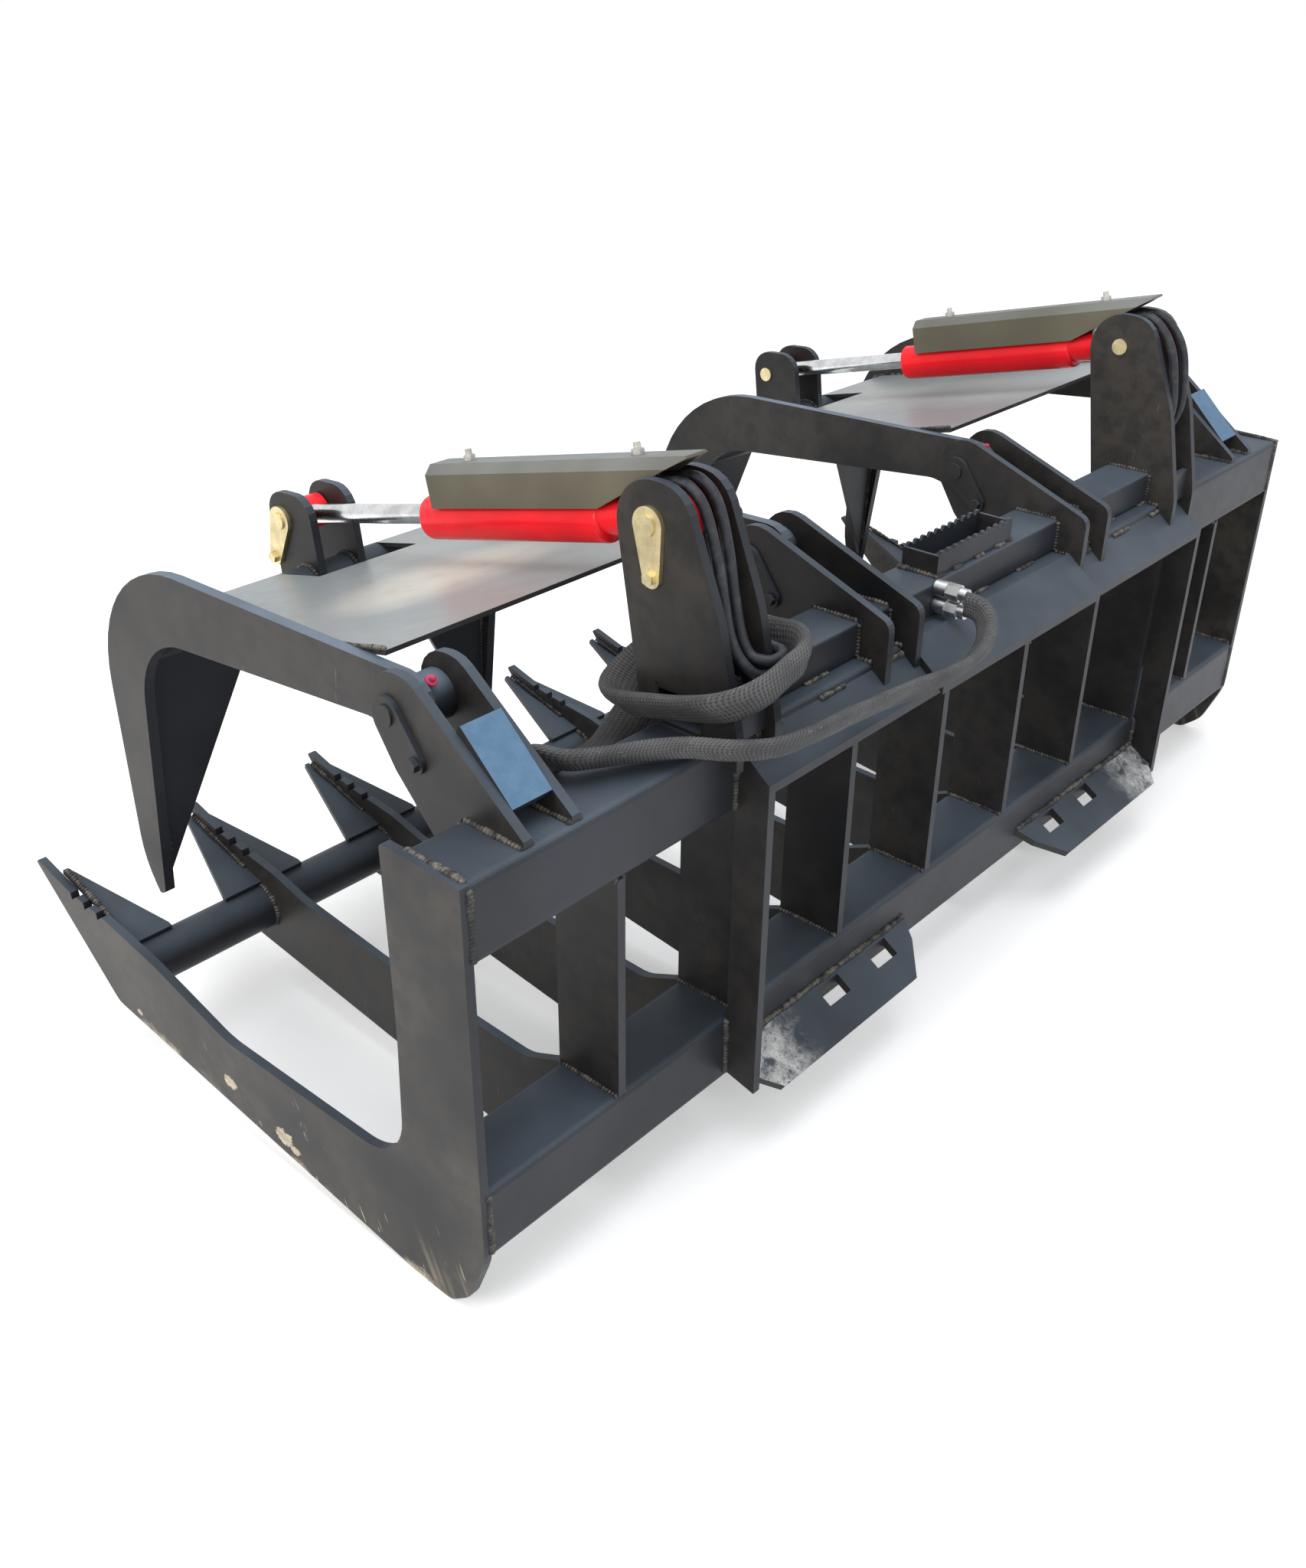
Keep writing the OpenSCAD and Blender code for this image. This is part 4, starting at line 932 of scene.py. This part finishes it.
class GRAPPLE_OT_tube_welds(Step, bpy.types.Operator):
    """Lay the weld beads between the tubes, uprights, end plates, tines and pipe"""
    bl_idname = "grapple.tube_welds"
    bl_label = "Tube and tine welds"

    def build(self, context):
        uprights, tines = Beads(), Beads()
        for i in range(1, 9):
            for s in (-1, 1):
                x = tine_x(i) + s * TINE_T / 2
                for z in (TUBE, FRAME_H - TUBE):
                    uprights.seam((x, -TUBE + 3, z), (x, -4, z), 0.8)
                tines.seam((x, -TUBE, 8), (x, -TUBE, 70))
                tines.seam((x, -TUBE + 8, 0), (x, -14, 0))
                tines.ring(x, PIPE[0], PIPE[1], PIPE_D / 2 + 1, 0.9, -30, 210)
                tines.seam((x + s * 1.5, -905, 138), (x + s * 1.5, -780, 100), 0.8)
        for sx in (-1, 1):
            x = sx * (END_X - TINE_T / 2)
            tines.ring(x, PIPE[0], PIPE[1], PIPE_D / 2 + 1, 0.9, -30, 210)
            tines.seam((x - sx * 1.5, -905, 138), (x - sx * 1.5, -780, 100), 0.8)
            for z in (0, FRAME_H - TUBE):
                uprights.seam((x, -2, z + 9), (x, -2, z + TUBE - 9))
                uprights.seam((x, -TUBE + 9, z + TUBE), (x, -9, z + TUBE))
                uprights.seam((x, -TUBE + 9, z), (x, -9, z))
        uprights.build("tube_welds", "frame", bead_finish())
        tines.build("tine_welds", "frame", bead_finish())


class GRAPPLE_OT_mount_welds(Step, bpy.types.Operator):
    """Lay the weld beads round the brackets, towers, rail, step and quick attach"""
    bl_idname = "grapple.mount_welds"
    bl_label = "Bracket and mount welds"

    def build(self, context):
        ears, rail = Beads(), Beads()
        back = -TUBE + RAIL_W
        top = FRAME_H + RAIL_H
        for side in SIDES:
            for s in (-1, 1):
                for t in (-1, 1):
                    off = s * (EAR_GAP + EAR_T) / 2 + t * EAR_T / 2
                    x = stand(side, OUTER_X + off)
                    ears.seam((x, -TUBE + 8, FRAME_H), (x, -10, FRAME_H))
                    ears.seam((x, -TUBE, FRAME_H - 62), (x, -TUBE, FRAME_H - 8))
                    for centre in (INNER_X, CLAMP_X):
                        x = stand(side, centre + off)
                        if centre == CLAMP_X and s == 1 and t == 1:
                            continue
                        rail.seam((x, -TUBE + 6, top), (x, back - 6, top), 0.8)
                        rail.seam((x, back, FRAME_H + 4), (x, back, top - 6), 0.8)
                        rail.seam((x, back + 4, FRAME_H), (x, -4, FRAME_H), 0.8)
            sx = 1 if side == "near" else -1
            for x in (sx * QA_W / 2, sx * (QA_W / 2 - 12.7)):
                rail.seam((x, 0, 14), (x, 0, 96))
                rail.seam((x, 0, FRAME_H - TUBE + 6), (x, 0, LIP_Z - 14))
            rail.seam((sx * QA_W * 0.145, 1, 46), (sx * (QA_W / 2 - 16), 1, 46))
        for k in range(9):
            x = -516 + k * 132
            rail.seam((x - 22, back, FRAME_H), (x + 22, back, FRAME_H), 0.8)
            rail.seam((x - 24, 1, LIP_Z), (x + 24, 1, LIP_Z), 0.8)
        y0 = -TUBE + (RAIL_W - 58) / 2
        for x in (STEP_X - 100, STEP_X + 100):
            rail.seam((x, y0 + 2, top), (x, y0 + 56, top), 1.1)
        for x in (-78, -20, 38, 84):
            rail.seam((STEP_X + x, y0 + 58, top), (STEP_X + x + 18, y0 + 58, top))
            rail.seam((STEP_X + x, y0, top), (STEP_X + x + 18, y0, top))
        ears.build("bracket_welds", "frame", bead_finish())
        rail.build("mount_welds", "frame", bead_finish())


class GRAPPLE_OT_clamp_welds(Step, bpy.types.Operator):
    """Lay the weld beads of both clamps"""
    bl_idname = "grapple.clamp_welds"
    bl_label = "Clamp welds"

    def build(self, context):
        sheet_back = (PIVOT[0] - 35.1, PIVOT[1] + 54.1)
        sheet_front = (CROSS[0] - 6.0, CROSS[1] + 30.15)
        for side in SIDES:
            beads = Beads()
            for s, arm in ((1, OUTER_ARM - ARM_T / 2), (-1, INNER_ARM + ARM_T / 2)):
                x = clamp(side, arm)
                inner = x - s * 1.5
                beads.seam((inner, sheet_back[0] - 4, sheet_back[1]),
                           (inner, sheet_front[0] + 30, sheet_front[1] + 7), 0.7)
                beads.ring(x, CROSS[0], CROSS[1], 31, 0.8)
                beads.seam((inner, -785, 470), (inner, -800, 170), 0.7)
                for t in (-1, 1):
                    ear = stand(side, CLAMP_X + s * (EAR_GAP + EAR_T) / 2 + t * EAR_T / 2)
                    beads.ring(ear, CROSS[0], CROSS[1], 31, 0.8, 20, 230)
            beads.ring(clamp(side, OUTER_ARM - ARM_T / 2), PIVOT[0], PIVOT[1], 31)
            for s in (-1, 1):
                beads.ring(clamp(side, INNER_ARM + s * ARM_T / 2), PIVOT[0], PIVOT[1], 31)
            beads.build(f"{side}_clamp_welds", f"{side}_clamp", bead_finish())


class GRAPPLE_OT_finishes(Step, bpy.types.Operator):
    """Give every part of the model its paint, plating or rubber"""
    bl_idname = "grapple.finishes"
    bl_label = "Finishes"

    def build(self, context):
        f = settings().finish
        paint = tuple(f.paint_colour)
        plain = black()
        wear_and_sheen = finish("scraped_paint", painted, paint, tine_wear)
        feet = finish("rubbed_paint", painted, paint, foot_wear)
        # The numbers after the wear function are shares of side dust with painted warm light and of top dust
        # with painted sky reflection.
        ends_paint = finish("end_paint", painted, paint, end_wear, 2.2)
        arms = finish("arm_paint", painted, paint, None, 1.3, 1.9)
        towers = finish("tower_paint", painted, paint, None, 1.6)
        brackets = finish("bracket_paint", painted, paint, brace_sheen, 1.3)
        guard = finish("guard_paint", painted, tuple(f.guard_colour), guard_nuts, 0.6, 1.4)
        sheets = finish("sheet_paint", sheet_paint, tuple(f.sheet_colour))
        red = finish("red_paint", painted, tuple(f.red_colour), None, *RED_FINISH)
        yellow = finish("yellow_zinc", plated, tuple(f.yellow_colour), 0.34)
        zinc = finish("zinc_steel", plated, tuple(f.zinc_colour), 0.28)
        chrome = finish("chrome_rod", plated, (0.78, 0.79, 0.80), 0.08)
        ends = {
            "end_plate": ends_paint, "tower": towers, "foot": feet, "outer_arm": arms, "inner_arm": arms,
            "brackets": brackets, "guard": guard, "sheet": sheets, "barrel": red, "rod_eye": red,
            "rod_pin": yellow, "tower_pin": yellow, "fittings": zinc, "couplers": zinc, "rod": chrome,
            "pivot_pins": plain,
        }
        for name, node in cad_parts.items():
            chosen = wear_and_sheen if name.startswith("tine_") else plain
            for end, material in ends.items():
                if name.endswith(end) and not (end == "rod" and name.endswith("_rod_eye")):
                    chosen = material
            node.data.materials.clear()
            node.data.materials.append(chosen)


class GRAPPLE_OT_stage(Step, bpy.types.Operator):
    """Lay a pale floor and hang plain, soft lamps"""
    bl_idname = "grapple.stage"
    bl_label = "Stage"

    def build(self, context):
        deselect()
        bpy.ops.mesh.primitive_plane_add(size=60, location=(0, 0, -0.0005))
        floor = context.object
        floor.name = "floor"
        s = Shader("floor_paint")
        colour = tuple(settings().view.floor_colour)
        rays = s.add("ShaderNodeLightPath")
        seen = rays["Is Camera Ray"].most(rays["Is Glossy Ray"]).most(rays["Is Transmission Ray"])
        glow = s.mix(seen, (0, 0, 0), tuple([settings().view.floor_glow] * 3))
        floor.data.materials.append(s.surface(
            Base_Color=colour, Roughness=0.9, Specular_IOR_Level=0.1,
            Emission_Color=glow, Emission_Strength=1.0,
        ))
        world = bpy.data.worlds.new("studio")
        context.scene.world = world
        world.use_nodes = True
        tree = world.node_tree
        back = tree.nodes["Background"]
        back.inputs["Color"].default_value = (1, 1, 1, 1)
        path = tree.nodes.new("ShaderNodeLightPath")
        level = tree.nodes.new("ShaderNodeMapRange")
        level.inputs["To Min"].default_value = 0.80
        level.inputs["To Max"].default_value = 1.0
        last = path.outputs["Is Camera Ray"]
        for ray in ("Is Glossy Ray", "Is Transmission Ray"):
            pick = tree.nodes.new("ShaderNodeMath")
            pick.operation = "MAXIMUM"
            tree.links.new(last, pick.inputs[0])
            tree.links.new(path.outputs[ray], pick.inputs[1])
            last = pick.outputs[0]
        tree.links.new(last, level.inputs["Value"])
        tree.links.new(level.outputs["Result"], back.inputs["Strength"])
        lamps = [
            ("top", (0.6, 0.3, 4.2), (0, 0, 0), 3.4, 100, (0.90, 0.95, 1.0)),
            ("left", (4.2, -0.4, 2.2), (0, 0, 0.4), 2.2, 60, (1.0, 0.965, 0.92)),
            ("back", (0.5, 4.2, 2.4), (0, 0, 0.4), 2.2, 30, (0.88, 0.94, 1.0)),
        ]
        for name, place, aim, size, watts, tint in lamps:
            data = bpy.data.lights.new(name, "AREA")
            data.shape = "DISK"
            data.size = size
            data.energy = watts
            data.color = tint
            lamp = bpy.data.objects.new(name, data)
            context.scene.collection.objects.link(lamp)
            lamp.location = place
            lamp.rotation_euler = (Vector(aim) - Vector(place)).to_track_quat("-Z", "Y").to_euler()
        context.scene.view_settings.view_transform = "Standard"


STEPS = [
    GRAPPLE_OT_camera, GRAPPLE_OT_sleeve, GRAPPLE_OT_hoses, GRAPPLE_OT_barrel_tubes,
    GRAPPLE_OT_small_fittings, GRAPPLE_OT_tube_welds, GRAPPLE_OT_mount_welds, GRAPPLE_OT_clamp_welds,
    GRAPPLE_OT_finishes, GRAPPLE_OT_stage,
]


class GRAPPLE_PT_panel(bpy.types.Panel):
    bl_label = "Root grapple"
    bl_idname = "GRAPPLE_PT_panel"
    bl_space_type = "VIEW_3D"
    bl_region_type = "UI"
    bl_category = "Grapple"

    def draw(self, context):
        layout = self.layout
        for step in STEPS:
            layout.operator(step.bl_idname)
        values = settings()
        for group in (values.view, values.finish, values.hoses, values.cylinders, values.welds):
            box = layout.box()
            for key in group.__annotations__:
                box.prop(group, key)


CLASSES = [
    GrappleView, GrappleFinish, GrappleHoses, GrappleCylinders, GrappleWelds, GrappleSettings, *STEPS,
    GRAPPLE_PT_panel,
]


def register():
    for cls in CLASSES:
        bpy.utils.register_class(cls)
    bpy.types.Scene.grapple = PointerProperty(type=GrappleSettings)


def unregister():
    del bpy.types.Scene.grapple
    for cls in reversed(CLASSES):
        bpy.utils.unregister_class(cls)


def main():
    register()
    for step in STEPS:
        group, name = step.bl_idname.split(".")
        getattr(getattr(bpy.ops, group), name)()


if __name__ == "__main__":
    main()
